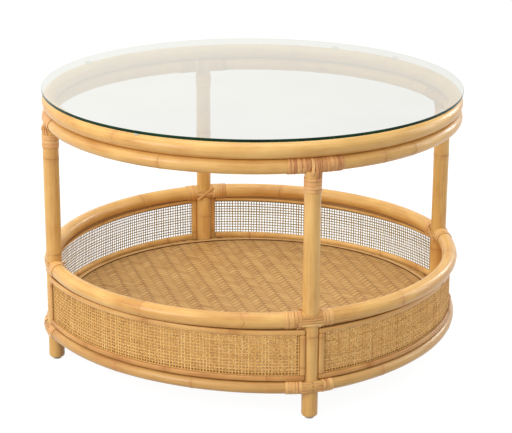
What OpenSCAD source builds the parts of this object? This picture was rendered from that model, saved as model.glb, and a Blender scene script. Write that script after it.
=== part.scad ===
// Round wicker coffee table: loose glass top on clear pads, two stacked pole
// hoops, four full-height pole legs, and a low cane-walled basket shelf.
// Origin: centre of the four feet on the floor. +Z up, legs on the X and Y axes.
// The front leg is on -Y, the right leg on +X, the back leg on +Y, the left on -X.

/* [Top] */
// Overall height, floor to upper face of the glass
table_h = 490; // [440:1:540]
// Glass disc diameter
glass_d = 750; // [700:1:800]
// Glass thickness
glass_t = 5; // [4:0.5:8]
// Clear pad height between upper hoop and glass
pad_h = 4; // [3.5:0.5:8]
// Turn of the four corner pads off the diagonals, degrees
pad_turn = 3; // [0:1:12]
// Clear pad diameter
pad_d = 13; // [8:0.5:16]
// Pole diameter of the upper hoop
hoop_up_d = 27; // [24:0.5:28]
// Pole diameter of the lower hoop
hoop_d = 25; // [22:0.5:27]

/* [Legs] */
// Pole diameter of the legs
leg_d = 28; // [27:0.5:32]
// Distance of each leg axis from the table axis
leg_r = 366; // [360:1:372]
// Foot glide diameter
glide_d = 16.6; // [12:0.2:20]
// Foot glide thickness
glide_t = 4; // [3:0.5:6]

/* [Basket] */
// Height of the rim rail axis above the floor
rim_z = 177.5; // [170:0.5:230]
// Pole diameter of the rim rails
rim_d = 27.2; // [24:0.2:27.2]
// Height of the base rail axis above the floor
base_z = 60; // [50:0.5:65]
// Pole diameter of the base rails
base_d = 21; // [18:0.5:23]
// How far the middle of a rail stands inside the leg circle
rail_bow = 6.5; // [4:0.5:8]
// Thickness of the woven cane sheet
cane_t = 1.2; // [0.8:0.1:2]
// Width of the outer panel trims
trim_w = 9.5; // [7:0.5:12]
// Thickness of the panel trims
trim_t = 3.8; // [3:0.1:4.2]

/* [Shelf] */
// Shelf board thickness
board_t = 7; // [6:0.5:9]
// Woven mat thickness
mat_t = 1.2; // [0.8:0.1:1.5]
// Height of the edge band above the mat
band_h = 2.6; // [1.6:0.2:4]
// Width of the edge band lying on the mat
band_w = 9.6; // [6:0.2:12]

/* [Bindings] */
// Thickness of the wound peel
peel_t = 1.25; // [0.8:0.05:1.4]
// Wound length on the left of each leg
wind_left = 28; // [20:1:34]
// Wound length on the right of each leg
wind_right = 20; // [14:1:30]

/* [Hidden] */
// Clearances
gap = 0.06;        // bedding gap between touching pieces
hoop_gap = 0.1;    // between the two hoops
leg_gap = 0.15;    // between a leg and the rails and trims that end on it
wall_gap = 0.15;   // between the wound rails and the cane wall
trim_gap = 0.05;   // between the cane sheet and its trims
pilot_gap = 0.1;   // a pilot or pin bore over its fastener
shank_gap = 0.6;   // a clearance hole over its screw
head_gap = 0.2;    // a head recess over its screw head

// Facets
pole_fn = 40;      // pole cross-sections
hoop_fn = 160;
bow_fn = 200;      // sweeps along the bowed rail lines
leg_fn = 64;
bore_fn = 24;
brad_fn = 16;

// Turns about Z that carry a piece from +X to its leg or its quarter
front = -90;
right = 0;
back = 90;
left = 180;
front_right = -45;
back_right = 45;
back_left = 135;
front_left = 225;
leg_turns = [front, right, back, left];
quarter_turns = [front_right, back_right, back_left, front_left];

// Top and legs
glass_z = table_h - glass_t;                      // underside of the glass
hoop_r = glass_d/2 - hoop_d/2;                    // lower hoop centre-line radius
up_r = glass_d/2 - hoop_up_d/2;                   // upper hoop centre-line radius
up_z = glass_z - pad_h - hoop_up_d/2;             // upper hoop axis
lo_z = up_z - hoop_up_d/2 - hoop_d/2 - hoop_gap;  // lower hoop axis
leg_top = lo_z - hoop_d/2 + 5;                    // horn height of the fish-mouth
foot_z = glide_t;                                 // bottom of the pole
leg_pole_r = leg_d/2;

// A bow is the plan arc of one quarter, with its middle on +X: [radius from
// the table axis at the leg ends, radius at the middle].
rim_bow = [leg_r + 0.5, leg_r - rail_bow];
base_bow = [leg_r + 10, leg_r - rail_bow - 3];
wall_bow = [leg_r + 9, leg_r - rail_bow - 1.5];

// Radius of the arc
function bow_radius(bow) =
  let(rise = bow[0]*sin(45), depth = bow[1] - bow[0]*cos(45))
  (rise*rise + depth*depth)/(2*depth);
// X of the arc's centre
function bow_centre(bow) = bow[1] - bow_radius(bow);
// Half the angle the arc spans
function bow_half(bow) = asin(bow[0]*sin(45)/bow_radius(bow));
// Angle of an arc of the given length
function arc_angle(length, radius) = length/radius*180/PI;

// Cane wall
wall_radius = bow_radius(wall_bow);
wall_centre = bow_centre(wall_bow);
wall_half = bow_half(wall_bow);
wall_lo = base_z + base_d/2 + peel_t + wall_gap;  // lower edge
wall_hi = rim_z - rim_d/2 - peel_t - wall_gap;    // upper edge
inner_extra_t = 0.6;                              // inner trims over the outer ones

// Shelf
mat_z = base_z + base_d/2 + 5.6;                  // underside of the mat
board_z = mat_z - 0.1 - board_t;                  // underside of the board
// Mat edge, inside the wall line
mat_inset = cane_t/2 + trim_gap + trim_t + inner_extra_t + 0.25;
// Board edge, inside the base rail axis, clear of the wound peel
board_inset = 0.6
  + sqrt(max(0, pow(base_d/2 + gap + peel_t, 2) - pow(board_z - base_z, 2)));
// Edge band, inside the trims and clear of the legs
band_outer_r = min(wall_bow[1] - mat_inset - 0.3, leg_r - leg_pole_r - 0.5);
band_inner_r = band_outer_r - band_w;
batten_x = 125;                                   // batten centre line
batten_w = 30;
batten_h = 16;
batten_bottom = board_z - gap - batten_h;
batten_mid_z = batten_bottom + batten_h/2;

// Fasteners
hoop_screw_d = 3;
hoop_screw_head_d = 7;
hoop_screw_count = 8;
hoop_screw_turn = 22.5;                           // first hoop screw, off +X
leg_screw_d = 3.5;
leg_screw_head_d = 8;
shelf_screw_d = 3;
shelf_screw_head_d = 8;
pin_d = 5;
pin_length = 70;
base_pin_r = leg_r + 5;                           // base joint pins sit toward the rails
nail_d = 2.4;
brad_d = 1.3;
dowel_d = 4;

honey = [0.86, 0.66, 0.42];
tan_c = [0.80, 0.60, 0.38];
cane_c = [0.84, 0.64, 0.38];
peel_c = [0.84, 0.62, 0.40];
steel = [0.72, 0.73, 0.74];
glass_c = [0.80, 0.90, 0.86, 0.35];
pad_c = [0.90, 0.93, 0.93, 0.6];
glide_c = [0.66, 0.66, 0.64];

// ---------- helpers ----------
// Round tube about the Z axis
module ring(radius, z, tube_r, sweep = 360, start = 0) {
  translate([0, 0, z])
    rotate_extrude(angle = sweep, start = start, $fn = hoop_fn)
      translate([radius, 0]) circle(r = tube_r, $fn = pole_fn);
}
// Round tube along part of a bow
module bow_arc(bow, z, tube_r, start, sweep) {
  translate([bow_centre(bow), 0, z])
    rotate_extrude(angle = sweep, start = start, $fn = bow_fn)
      translate([bow_radius(bow), 0]) circle(r = tube_r, $fn = pole_fn);
}
// Round tube along a whole bow, each end shortened by end_cut degrees
module bow_tube(bow, z, tube_r, end_cut = 0) {
  half = bow_half(bow) - end_cut;
  bow_arc(bow, z, tube_r, -half, 2*half);
}
// Upright cylinder on the axis of the leg on +X
module leg_column(radius, z, h) {
  translate([leg_r, 0, z]) cylinder(r = radius, h = h, $fn = leg_fn);
}
// Envelope of the legs at the two ends of one quarter
module leg_cut(radius) {
  for (turn = [-45, 45]) rotate(turn) leg_column(radius, -1, table_h);
}
module bore(d, h) {
  cylinder(d = d, h = h, $fn = bore_fn);
}
// Tangential pin centred at the given radius on +X
module cross_pin(z, radius, d, length) {
  translate([radius, 0, z]) rotate([90, 0, 0])
    cylinder(d = d, h = length, center = true, $fn = bore_fn);
}
// Screw with its head face at the origin, shank along +Z
module screw(head_d, head_h, d, length) {
  bore(head_d, head_h);
  translate([0, 0, head_h/2]) bore(d, length - head_h/2);
}

// ---------- glass and hoops ----------
glass_edge = 0.6;                    // chamfer of the glass rim
pad_taper = 1.5;                     // a pad's loss of diameter at the top
pad_skirt = 1.2;                     // reach of a pad below the hoop's crown
// One pad near each diagonal, and a fifth at 25.5 degrees
pad_angles = [25.5, 45 + pad_turn, 132 + pad_turn/2, 222 + pad_turn/2, 315 + pad_turn];

module glass_top() {
  rim = glass_d/2;
  color(glass_c)
    translate([0, 0, glass_z]) rotate_extrude($fn = 200)
      polygon([[0, 0], [rim - glass_edge, 0], [rim, glass_edge], [rim, glass_t - glass_edge],
               [rim - glass_edge, glass_t], [0, glass_t]]);
}
// Rests on the crown of the upper hoop, hollowed to its curve
module pad_solid() {
  difference() {
    translate([up_r, 0, up_z])
      cylinder(d1 = pad_d, d2 = pad_d - pad_taper, h = glass_z - up_z - gap, $fn = pole_fn);
    ring(up_r, up_z, hoop_up_d/2 + gap, 6, -3);
    translate([up_r, 0, up_z - 1])
      cylinder(d = pad_d + 4, h = hoop_up_d/2 - pad_skirt + 1, $fn = pole_fn);
  }
}
module glass_pads() {
  color(pad_c) for (a = pad_angles) rotate(a) pad_solid();
}
// Children repeated at each hoop screw
module at_hoop_screws() {
  for (i = [0:hoop_screw_count - 1])
    rotate(360/hoop_screw_count*i + hoop_screw_turn) translate([hoop_r, 0, 0]) children();
}
module at_leg_screws() {
  for (turn = leg_turns) rotate(turn) translate([hoop_r, 0, 0]) children();
}
module top_hoop_upper() {
  color(honey) difference() {
    ring(up_r, up_z, hoop_up_d/2);
    // blind pilot holes from below, ending 4 above the axis
    at_hoop_screws() translate([0, 0, up_z - hoop_up_d])
      bore(hoop_screw_d + pilot_gap, hoop_up_d + 4);
  }
}
module top_hoop_lower() {
  color(honey) difference() {
    ring(hoop_r, lo_z, hoop_d/2);
    // through holes for the hoop screws, heads sunk in the underside
    at_hoop_screws() translate([0, 0, lo_z - hoop_d])
      bore(hoop_screw_d + shank_gap, 2*hoop_d);
    at_hoop_screws() translate([0, 0, lo_z - hoop_d])
      bore(hoop_screw_head_d + head_gap, hoop_d/2 + 3.6);
    // through holes over the legs, heads sunk in the crown
    at_leg_screws() translate([0, 0, lo_z - hoop_d])
      bore(leg_screw_d + shank_gap, 2*hoop_d);
    at_leg_screws() translate([0, 0, lo_z + hoop_d/2 - 4.2])
      bore(leg_screw_head_d + head_gap, 10);
  }
}

// ---------- legs ----------
// Half section of a leg with its rounded foot: [radius, height above foot_z]
leg_profile = [
  [0, 0], [leg_pole_r - 4.2, 0], [leg_pole_r - 1.4, 1.4], [leg_pole_r, 4.6],
  [leg_pole_r, leg_top - foot_z], [0, leg_top - foot_z]
];

// The leg on +X
module leg_solid() {
  color(honey) difference() {
    translate([leg_r, 0, foot_z]) rotate_extrude($fn = leg_fn) polygon(leg_profile);
    // fish-mouth seat of the lower hoop
    ring(hoop_r, lo_z, hoop_d/2 + gap, 8, -4);
    // pilots for the leg screw and the glide nail
    translate([hoop_r, 0, lo_z - 62]) bore(leg_screw_d + pilot_gap, 60);
    translate([leg_r, 0, foot_z - 1]) bore(nail_d + pilot_gap, 17);
    // cross bores of the two rail joints
    cross_pin(rim_z, leg_r, pin_d + pilot_gap, 60);
    cross_pin(base_z, base_pin_r, pin_d + pilot_gap, 60);
  }
}
module leg_front() { rotate(front) leg_solid(); }
module leg_right() { rotate(right) leg_solid(); }
module leg_back() { rotate(back) leg_solid(); }
module leg_left() { rotate(left) leg_solid(); }

// ---------- rails ----------
module rail_pin_bores(z, radius) {
  for (turn = [-45, 45]) rotate(turn) cross_pin(z, radius, pin_d + pilot_gap, pin_length + 1);
}
module rim_rail_solid() {
  color(honey) difference() {
    bow_tube(rim_bow, rim_z, rim_d/2);
    leg_cut(leg_pole_r + leg_gap);
    rail_pin_bores(rim_z, leg_r);
  }
}
// turn is the quarter this rail goes to, which decides where its dowel seat falls
module base_rail_solid(turn) {
  color(honey) difference() {
    bow_tube(base_bow, base_z, base_d/2);
    leg_cut(leg_pole_r + leg_gap);
    rail_pin_bores(base_z, base_pin_r);
    // seat of the batten dowel
    at_batten_end(turn) rotate([90, 0, 0]) translate([0, 0, -8])
      bore(dowel_d + pilot_gap, 17);
  }
}
module rim_rail_front_right() { rotate(front_right) rim_rail_solid(); }
module rim_rail_back_right() { rotate(back_right) rim_rail_solid(); }
module rim_rail_back_left() { rotate(back_left) rim_rail_solid(); }
module rim_rail_front_left() { rotate(front_left) rim_rail_solid(); }
module base_rail_front_right() { rotate(front_right) base_rail_solid(front_right); }
module base_rail_back_right() { rotate(back_right) base_rail_solid(back_right); }
module base_rail_back_left() { rotate(back_left) base_rail_solid(back_left); }
module base_rail_front_left() { rotate(front_left) base_rail_solid(front_left); }

// ---------- cane wall ----------
brad_angles = [-32, -19, -6.5, 6.5, 19, 32];      // along the wall arc
brad_heights = [wall_lo + trim_w/2, wall_hi - trim_w/2];
// Side trims' edges as angles from the end of the wall arc
outer_side_near = asin(10.8/wall_radius);         // toward the leg
outer_side_far = asin(20.5/wall_radius);
inner_side_far = asin(25.5/wall_radius);
side_split = 0.02;                                // angle between side and cross strips
inner_low_w = 16.1;                               // width of the lower inner strip
// Radial spans measured from the wall line
outer_trim_span = [cane_t/2 + trim_gap, cane_t/2 + trim_gap + trim_t];
inner_face = -cane_t/2 - trim_gap;
inner_trim_span = [inner_face - trim_t - inner_extra_t, inner_face];

// Strip along the wall arc; each span is [from, to]
module wall_strip(radial, height, angles) {
  translate([wall_centre, 0, 0])
    rotate_extrude(angle = angles[1] - angles[0], start = angles[0], $fn = bow_fn)
      translate([wall_radius + radial[0], height[0]])
        square([radial[1] - radial[0], height[1] - height[0]]);
}
// Strip across the wall, stopping short of both ends by an angle
module cross_strip(radial, height, short) {
  wall_strip(radial, height, [-wall_half + short, wall_half - short]);
}
// Upright strips at both ends of the wall, near and far measured from its ends
module side_strips(radial, height, near, far) {
  wall_strip(radial, height, [-wall_half + near, -wall_half + far - side_split]);
  wall_strip(radial, height, [wall_half - far + side_split, wall_half - near]);
}
// Children repeated on the wall line at each brad
module at_brads() {
  for (a = brad_angles, z = brad_heights)
    translate([wall_centre, 0, z]) rotate(a) translate([wall_radius, 0, 0]) children();
}
module brad_bores() {
  at_brads() rotate([0, 90, 0])
    cylinder(d = brad_d + pilot_gap, h = 24, center = true, $fn = brad_fn);
}
module cane_panel_solid() {
  color(cane_c) difference() {
    cross_strip([-cane_t/2, cane_t/2], [wall_lo, wall_hi], 0);
    leg_cut(leg_pole_r + 0.2);
    brad_bores();
  }
}
module outer_trim_solid() {
  color(tan_c) difference() {
    union() {
      cross_strip(outer_trim_span, [wall_hi - trim_w, wall_hi], outer_side_far);
      cross_strip(outer_trim_span, [wall_lo, wall_lo + trim_w], outer_side_far);
    }
    brad_bores();
  }
  color(tan_c) difference() {
    side_strips(outer_trim_span, [wall_lo, wall_hi], outer_side_near, outer_side_far);
    leg_cut(leg_pole_r + leg_gap);
  }
}
module inner_trim_solid() {
  color(tan_c) difference() {
    union() {
      // upper strip tucked into the corner under the rim
      difference() {
        cross_strip([inner_face - 9.2, inner_face], [wall_hi - 6, wall_hi + 5.5],
          inner_side_far);
        bow_tube(rim_bow, rim_z, rim_d/2 + peel_t + wall_gap, end_cut = 1);
      }
      // lower strip, from the wall's lower edge to above the shelf edge band
      cross_strip(inner_trim_span, [wall_lo, wall_lo + inner_low_w], inner_side_far);
    }
    brad_bores();
  }
  color(tan_c) difference() {
    side_strips(inner_trim_span, [wall_lo, wall_hi], 0, inner_side_far);
    leg_cut(leg_pole_r + leg_gap);
  }
}
module cane_panel_front_right() { rotate(front_right) cane_panel_solid(); }
module cane_panel_back_right() { rotate(back_right) cane_panel_solid(); }
module cane_panel_back_left() { rotate(back_left) cane_panel_solid(); }
module cane_panel_front_left() { rotate(front_left) cane_panel_solid(); }
module outer_trim_front_right() { rotate(front_right) outer_trim_solid(); }
module outer_trim_back_right() { rotate(back_right) outer_trim_solid(); }
module outer_trim_back_left() { rotate(back_left) outer_trim_solid(); }
module outer_trim_front_left() { rotate(front_left) outer_trim_solid(); }
module inner_trim_front_right() { rotate(front_right) inner_trim_solid(); }
module inner_trim_back_right() { rotate(back_right) inner_trim_solid(); }
module inner_trim_back_left() { rotate(back_left) inner_trim_solid(); }
module inner_trim_front_left() { rotate(front_left) inner_trim_solid(); }

// ---------- bindings ----------
// Lengths along the hoop, from the leg axis
top_wind_start = 16;
top_wind_left = 27;                  // wound length on the -Y side of the leg on +X
top_strap_half = 8;                  // half of the winding over the leg
strap_w = 7.5*2;                     // straps from the leg up to the hoop
rail_wind_start = 16.5;              // along the rail, from its end
rail_band_half = 9.2;                // half width of the bands across a leg
peel_leg_r = leg_pole_r + gap;       // inside of the peel around a leg

// Wound peel of one leg head, leg on +X; wind_length is on its +Y side
module top_binding_solid(wind_length = 33) {
  inner_r = hoop_d/2 + gap;
  outer_r = inner_r + peel_t;
  start = arc_angle(top_wind_start, hoop_r);
  left_arc = arc_angle(top_wind_left, hoop_r);
  right_arc = arc_angle(wind_length, hoop_r);
  strap_arc = arc_angle(top_strap_half, hoop_r);
  color(peel_c) difference() {
    union() {
      ring(hoop_r, lo_z, outer_r, left_arc, -start - left_arc);
      ring(hoop_r, lo_z, outer_r, right_arc, start);
      ring(hoop_r, lo_z, outer_r, 2*strap_arc, -strap_arc);
      leg_column(peel_leg_r + peel_t, lo_z - 43.5, 24.5);
      // two straps from the leg winding up to the hoop
      intersection() {
        leg_column(peel_leg_r + peel_t, lo_z - 22, 18);
        translate([leg_r - 30, -strap_w/2, lo_z - 40]) cube([60, strap_w, 60]);
      }
    }
    // hollows for the hoops and the leg
    ring(hoop_r, lo_z, inner_r, 30, -15);
    ring(up_r, up_z, hoop_up_d/2 + gap, 30, -15);
    leg_column(peel_leg_r, 300, leg_top + gap - 300);
  }
}
// Peel wound on a rail of radius rail_r
module rail_winding(bow, z, rail_r, start, sweep) {
  difference() {
    bow_arc(bow, z, rail_r + gap + peel_t, start, sweep);
    bow_tube(bow, z, rail_r + gap);
  }
}
// Wound peel where two rails meet the leg on +X. Seen from outside the table,
// the rail at -45 degrees is left of the leg and the one at +45 is right.
module rail_binding_solid(bow, z, rail_r, band_height) {
  half = bow_half(bow);
  start = arc_angle(rail_wind_start, bow_radius(bow));
  left_arc = arc_angle(wind_left, bow_radius(bow));
  right_arc = arc_angle(wind_right, bow_radius(bow));
  cut_z = z - band_height;
  cut_h = 2*band_height;
  color(peel_c) {
    rotate(-45) rail_winding(bow, z, rail_r, half - start - left_arc, left_arc);
    rotate(45) rail_winding(bow, z, rail_r, -half + start, right_arc);
    // bands across the leg, outside and inside
    difference() {
      leg_column(peel_leg_r + peel_t, z - band_height/2, band_height);
      leg_column(peel_leg_r, cut_z, cut_h);
      for (y = [rail_band_half, -rail_band_half - 40])
        translate([leg_r - 40, y, cut_z]) cube([80, 40, cut_h]);
      translate([leg_r - 5, -20, cut_z]) cube([10, 40, cut_h]);
      for (turn = [-45, 45]) rotate(turn) bow_tube(bow, z, rail_r + gap);
    }
  }
}
module rim_binding_solid() { rail_binding_solid(rim_bow, rim_z, rim_d/2, band_height = 19); }
module base_binding_solid() { rail_binding_solid(base_bow, base_z, base_d/2, band_height = 16); }
module top_binding_front() { rotate(front) top_binding_solid(); }
module top_binding_right() { rotate(right) top_binding_solid(); }
module top_binding_back() { rotate(back) top_binding_solid(); }
module top_binding_left() { rotate(left) top_binding_solid(wind_length = 9); }
module rim_binding_front() { rotate(front) rim_binding_solid(); }
module rim_binding_right() { rotate(right) rim_binding_solid(); }
module rim_binding_back() { rotate(back) rim_binding_solid(); }
module rim_binding_left() { rotate(left) rim_binding_solid(); }
module base_binding_front() { rotate(front) base_binding_solid(); }
module base_binding_right() { rotate(right) base_binding_solid(); }
module base_binding_back() { rotate(back) base_binding_solid(); }
module base_binding_left() { rotate(left) base_binding_solid(); }

// ---------- shelf ----------
shelf_points = [for (x = [-batten_x, batten_x], y = [-240, -80, 80, 240]) [x, y]];
// Y of the base rail axis at x, in the +X +Y quarter
function rail_y(x) =
  let(radius = bow_radius(base_bow), centre = bow_centre(base_bow)*sin(45))
  centre + sqrt(radius*radius - pow(x - centre, 2));
batten_end = rail_y(batten_x) - base_d/2 - 1;     // Y of the batten end frame
dowel_length = 26;
dowel_out = 7;                                    // dowel beyond the batten end frame

module shelf_bores(z, h, d) {
  for (p = shelf_points) translate([p[0], p[1], z]) bore(d, h);
}
// Disc bounded by one quarter's bow, moved in by inset
module bow_disc(bow, inset, z, h) {
  translate([bow_centre(bow), 0, z])
    cylinder(r = bow_radius(bow) - inset, h = h, $fn = 240);
}
// Plate with four bowed sides, held off the legs by clearance
module bowed_plate(bow, inset, z, h, clearance) {
  difference() {
    intersection() {
      rotate(front_right) bow_disc(bow, inset, z, h);
      rotate(back_right) bow_disc(bow, inset, z, h);
      rotate(back_left) bow_disc(bow, inset, z, h);
      rotate(front_left) bow_disc(bow, inset, z, h);
    }
    for (turn = leg_turns) rotate(turn) leg_column(leg_pole_r + clearance, z - 1, h + 2);
  }
}
module shelf_board() {
  color(tan_c) difference() {
    bowed_plate(base_bow, board_inset, board_z, board_t, clearance = peel_t + 0.8);
    shelf_bores(board_z - 1, board_t + 2, 4.1);
    shelf_bores(board_z + board_t - 2.4, 5, shelf_screw_head_d + head_gap);
  }
}
module shelf_mat() {
  color(cane_c) bowed_plate(wall_bow, mat_inset, mat_z, mat_t, clearance = 0.8);
}
module shelf_edge_band() {
  color(tan_c) translate([0, 0, mat_z + mat_t + gap]) rotate_extrude($fn = 160)
    translate([band_inner_r, 0]) square([band_outer_r - band_inner_r, band_h - 0.2]);
}
// Frame of the batten end in a quarter, as seen before the quarter's turn
module at_batten_end(turn) {
  side_y = sign(sin(turn));
  rotate(-turn) translate([sign(cos(turn))*batten_x, side_y*batten_end, batten_mid_z])
    rotate(side_y > 0 ? 180 : 0) children();
}
module shelf_battens() {
  color(tan_c) for (side_x = [-1, 1]) difference() {
    translate([side_x*batten_x - batten_w/2, -batten_end - 6, batten_bottom])
      cube([batten_w, 2*batten_end + 12, batten_h]);
    // ends coped to the base rails
    for (turn = quarter_turns) rotate(turn) bow_tube(base_bow, base_z, base_d/2 + 0.1);
    shelf_bores(board_z - batten_h + 2, batten_h, shelf_screw_d + pilot_gap);
    for (side_y = [-1, 1]) translate([side_x*batten_x, side_y*batten_end, batten_mid_z])
      rotate([90, 0, 0])
        cylinder(d = dowel_d + pilot_gap, h = 40, center = true, $fn = bore_fn);
  }
}

// ---------- feet and fasteners ----------
glide_r = glide_d/2;
// Half section of a foot glide: [radius, height]
glide_profile = [
  [0, 0], [glide_r - 2.4, 0], [glide_r - 0.7, 0.8], [glide_r, 2.4],
  [glide_r, glide_t - gap], [0, glide_t - gap]
];
nail_head_d = 5.5;
nail_seat_z = 1.5;                   // floor of the nail head recess

module foot_glides() {
  color(glide_c) for (turn = leg_turns) rotate(turn) difference() {
    translate([leg_r, 0, 0]) rotate_extrude($fn = 48) polygon(glide_profile);
    translate([leg_r, 0, nail_seat_z]) bore(nail_d + pilot_gap, 10);
    translate([leg_r, 0, nail_seat_z]) bore(nail_head_d + 0.1, 1.1);
  }
}
module glide_nails() {
  color(steel) for (turn = leg_turns) rotate(turn) translate([leg_r, 0, nail_seat_z + 0.05])
    screw(head_d = nail_head_d, head_h = 1, d = nail_d, length = 17.5);
}
module hoop_screws() {
  color(steel) at_hoop_screws() translate([0, 0, lo_z - hoop_d/2 + 0.8])
    screw(head_d = hoop_screw_head_d, head_h = 2.7, d = hoop_screw_d, length = 31);
}
module leg_top_screws() {
  color(steel) at_leg_screws() translate([0, 0, lo_z + hoop_d/2 - 1.1]) mirror([0, 0, 1])
    screw(head_d = leg_screw_head_d, head_h = 3, d = leg_screw_d, length = 70);
}
module rim_joint_pins() {
  color(steel) for (turn = leg_turns) rotate(turn) cross_pin(rim_z, leg_r, pin_d, pin_length);
}
module base_joint_pins() {
  color(steel) for (turn = leg_turns) rotate(turn)
    cross_pin(base_z, base_pin_r, pin_d, pin_length);
}
module trim_brads() {
  color(steel) for (turn = quarter_turns) rotate(turn) at_brads()
    translate([cane_t/2 + trim_t - 0.1, 0, 0]) rotate([0, -90, 0])
      cylinder(d = brad_d, h = 7.6, $fn = brad_fn);
}
module shelf_screws() {
  color(steel) for (p = shelf_points)
    translate([p[0], p[1], board_z + board_t - 0.2]) mirror([0, 0, 1])
      screw(head_d = shelf_screw_head_d, head_h = 2.1, d = shelf_screw_d, length = 14);
}
module batten_dowels() {
  color(tan_c) for (side_x = [-1, 1], side_y = [-1, 1])
    translate([side_x*batten_x, side_y*batten_end, batten_mid_z]) rotate([90, 0, 0])
      translate([0, 0, side_y > 0 ? -dowel_out : dowel_out - dowel_length])
        bore(dowel_d, dowel_length);
}

glass_top();
glass_pads();
top_hoop_upper();
top_hoop_lower();
leg_front();
leg_right();
leg_back();
leg_left();
rim_rail_front_right();
rim_rail_back_right();
rim_rail_back_left();
rim_rail_front_left();
base_rail_front_right();
base_rail_back_right();
base_rail_back_left();
base_rail_front_left();
cane_panel_front_right();
cane_panel_back_right();
cane_panel_back_left();
cane_panel_front_left();
outer_trim_front_right();
outer_trim_back_right();
outer_trim_back_left();
outer_trim_front_left();
inner_trim_front_right();
inner_trim_back_right();
inner_trim_back_left();
inner_trim_front_left();
top_binding_front();
top_binding_right();
top_binding_back();
top_binding_left();
rim_binding_front();
rim_binding_right();
rim_binding_back();
rim_binding_left();
base_binding_front();
base_binding_right();
base_binding_back();
base_binding_left();
shelf_board();
shelf_mat();
shelf_edge_band();
shelf_battens();
foot_glides();
glide_nails();
hoop_screws();
leg_top_screws();
rim_joint_pins();
base_joint_pins();
trim_brads();
shelf_screws();
batten_dowels();
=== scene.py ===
"""Looks of a round wicker coffee table: pole frame, cane walls, twill mat, wound bindings, glass top.

The table is centred on the Z axis, with legs at the front (-Y), right (+X), back (+Y) and left (-X).
Walls and rails come in four quarters between the legs. Every piece that repeats is shaped round +X
and then turned about Z to its leg or quarter. Lengths are in millimetres until a mesh is built.
"""
import math

import bpy
import numpy as np
from mathutils import Matrix, Vector


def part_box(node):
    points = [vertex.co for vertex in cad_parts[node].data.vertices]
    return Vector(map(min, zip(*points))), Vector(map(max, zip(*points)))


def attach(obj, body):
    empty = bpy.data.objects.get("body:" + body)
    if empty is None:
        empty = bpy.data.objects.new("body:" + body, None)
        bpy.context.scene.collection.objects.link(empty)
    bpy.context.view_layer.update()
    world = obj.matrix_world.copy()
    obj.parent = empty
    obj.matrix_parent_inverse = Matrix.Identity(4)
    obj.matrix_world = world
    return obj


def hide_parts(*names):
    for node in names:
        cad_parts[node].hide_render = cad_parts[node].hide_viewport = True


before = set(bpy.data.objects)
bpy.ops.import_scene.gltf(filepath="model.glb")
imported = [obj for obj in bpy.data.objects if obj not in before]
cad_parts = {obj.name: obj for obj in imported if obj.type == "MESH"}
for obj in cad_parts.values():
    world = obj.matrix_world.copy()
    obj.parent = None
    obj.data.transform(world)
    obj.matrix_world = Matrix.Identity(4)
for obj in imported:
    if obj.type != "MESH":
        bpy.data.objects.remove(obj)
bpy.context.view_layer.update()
MM = 0.001
PI = math.pi
SIN45 = math.sqrt(0.5)


# ------------------------------------------------------------------ dimensions read from the frame
def cad_box(name):
    low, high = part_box(name)
    return np.array(low) * 1000.0, np.array(high) * 1000.0


def pole_size(name):
    """Pole radius, height of its centre line and greatest x of a level pole."""
    low, high = cad_box(name)
    return (high[2] - low[2]) / 2, (high[2] + low[2]) / 2, high[0]


low, high = cad_box("glass_top")
GLASS_R, GLASS_Z0, GLASS_Z1 = high[0], low[2], high[2]
UPPER_POLE, UPPER_Z, reach = pole_size("top_hoop_upper")
UPPER_R = reach - UPPER_POLE
LOWER_POLE, LOWER_Z, reach = pole_size("top_hoop_lower")
LOWER_R = reach - LOWER_POLE
low, high = cad_box("leg_right")
LEG_R, LEG_POLE = (low[0] + high[0]) / 2, (high[1] - low[1]) / 2
FOOT_Z, LEG_TOP = low[2], high[2]
RIM_POLE, RIM_Z, _ = pole_size("rim_rail_front_right")
BASE_POLE, BASE_Z, _ = pole_size("base_rail_front_right")
low, high = cad_box("cane_panel_front_right")
WALL_LOW, WALL_HIGH = low[2], high[2]
low, high = cad_box("shelf_mat")
MAT_Z = (low[2] + high[2]) / 2
low, high = cad_box("shelf_edge_band")
BAND_R, BAND_Z, BAND_H = high[0], low[2], high[2] - low[2]

BAND_W = 9.6          # width of the band round the shelf
GAP = 0.06            # air between a pole and what lies on it
PEEL = 1.25           # thickness of the binding peel with its gap
LEG_CLEAR = 0.15      # air between a leg and what butts against it


class Bow:
    """A quarter's plan line: an arc through two leg ends, its middle at mid_r on +X."""

    def __init__(self, end_r, mid_r):
        half_chord = end_r * SIN45
        rise = mid_r - half_chord
        self.radius = (half_chord * half_chord + rise * rise) / (2 * rise)
        self.centre = mid_r - self.radius
        self.half = math.asin(half_chord / self.radius)


WALL_MID = LEG_R - 8.0
RIM = Bow(LEG_R + 0.5, LEG_R - 6.5)
BASE = Bow(LEG_R + 10.0, LEG_R - 9.5)
WALL = Bow(LEG_R + 9.0, WALL_MID)
QUARTERS = ["front_right", "back_right", "back_left", "front_left"]
LEGS = ["front", "right", "back", "left"]
QUARTER_ANGLE = [math.radians(-45 + 90 * k) for k in range(4)]
LEG_ANGLE = [math.radians(-90 + 90 * k) for k in range(4)]


# ------------------------------------------------------------------ geometry helpers
def xyz(*axes):
    """Stack coordinates, broadcast to one shape, into an array of points."""
    return np.stack(np.broadcast_arrays(*axes), -1)


def polar(radius, angle, z, centre=0.0):
    return xyz(centre + radius * np.cos(angle), radius * np.sin(angle), z)


def spin(points, angle):
    """Turn points about the Z axis."""
    points = np.asarray(points, float)
    turned = points.copy()
    cos, sin = math.cos(angle), math.sin(angle)
    turned[..., 0] = points[..., 0] * cos - points[..., 1] * sin
    turned[..., 1] = points[..., 0] * sin + points[..., 1] * cos
    return turned


def unit(vectors):
    return vectors / (np.linalg.norm(vectors, axis=-1, keepdims=True) + 1e-9)


def bell(offset, width):
    return np.exp(-((offset / width) ** 2))


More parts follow.
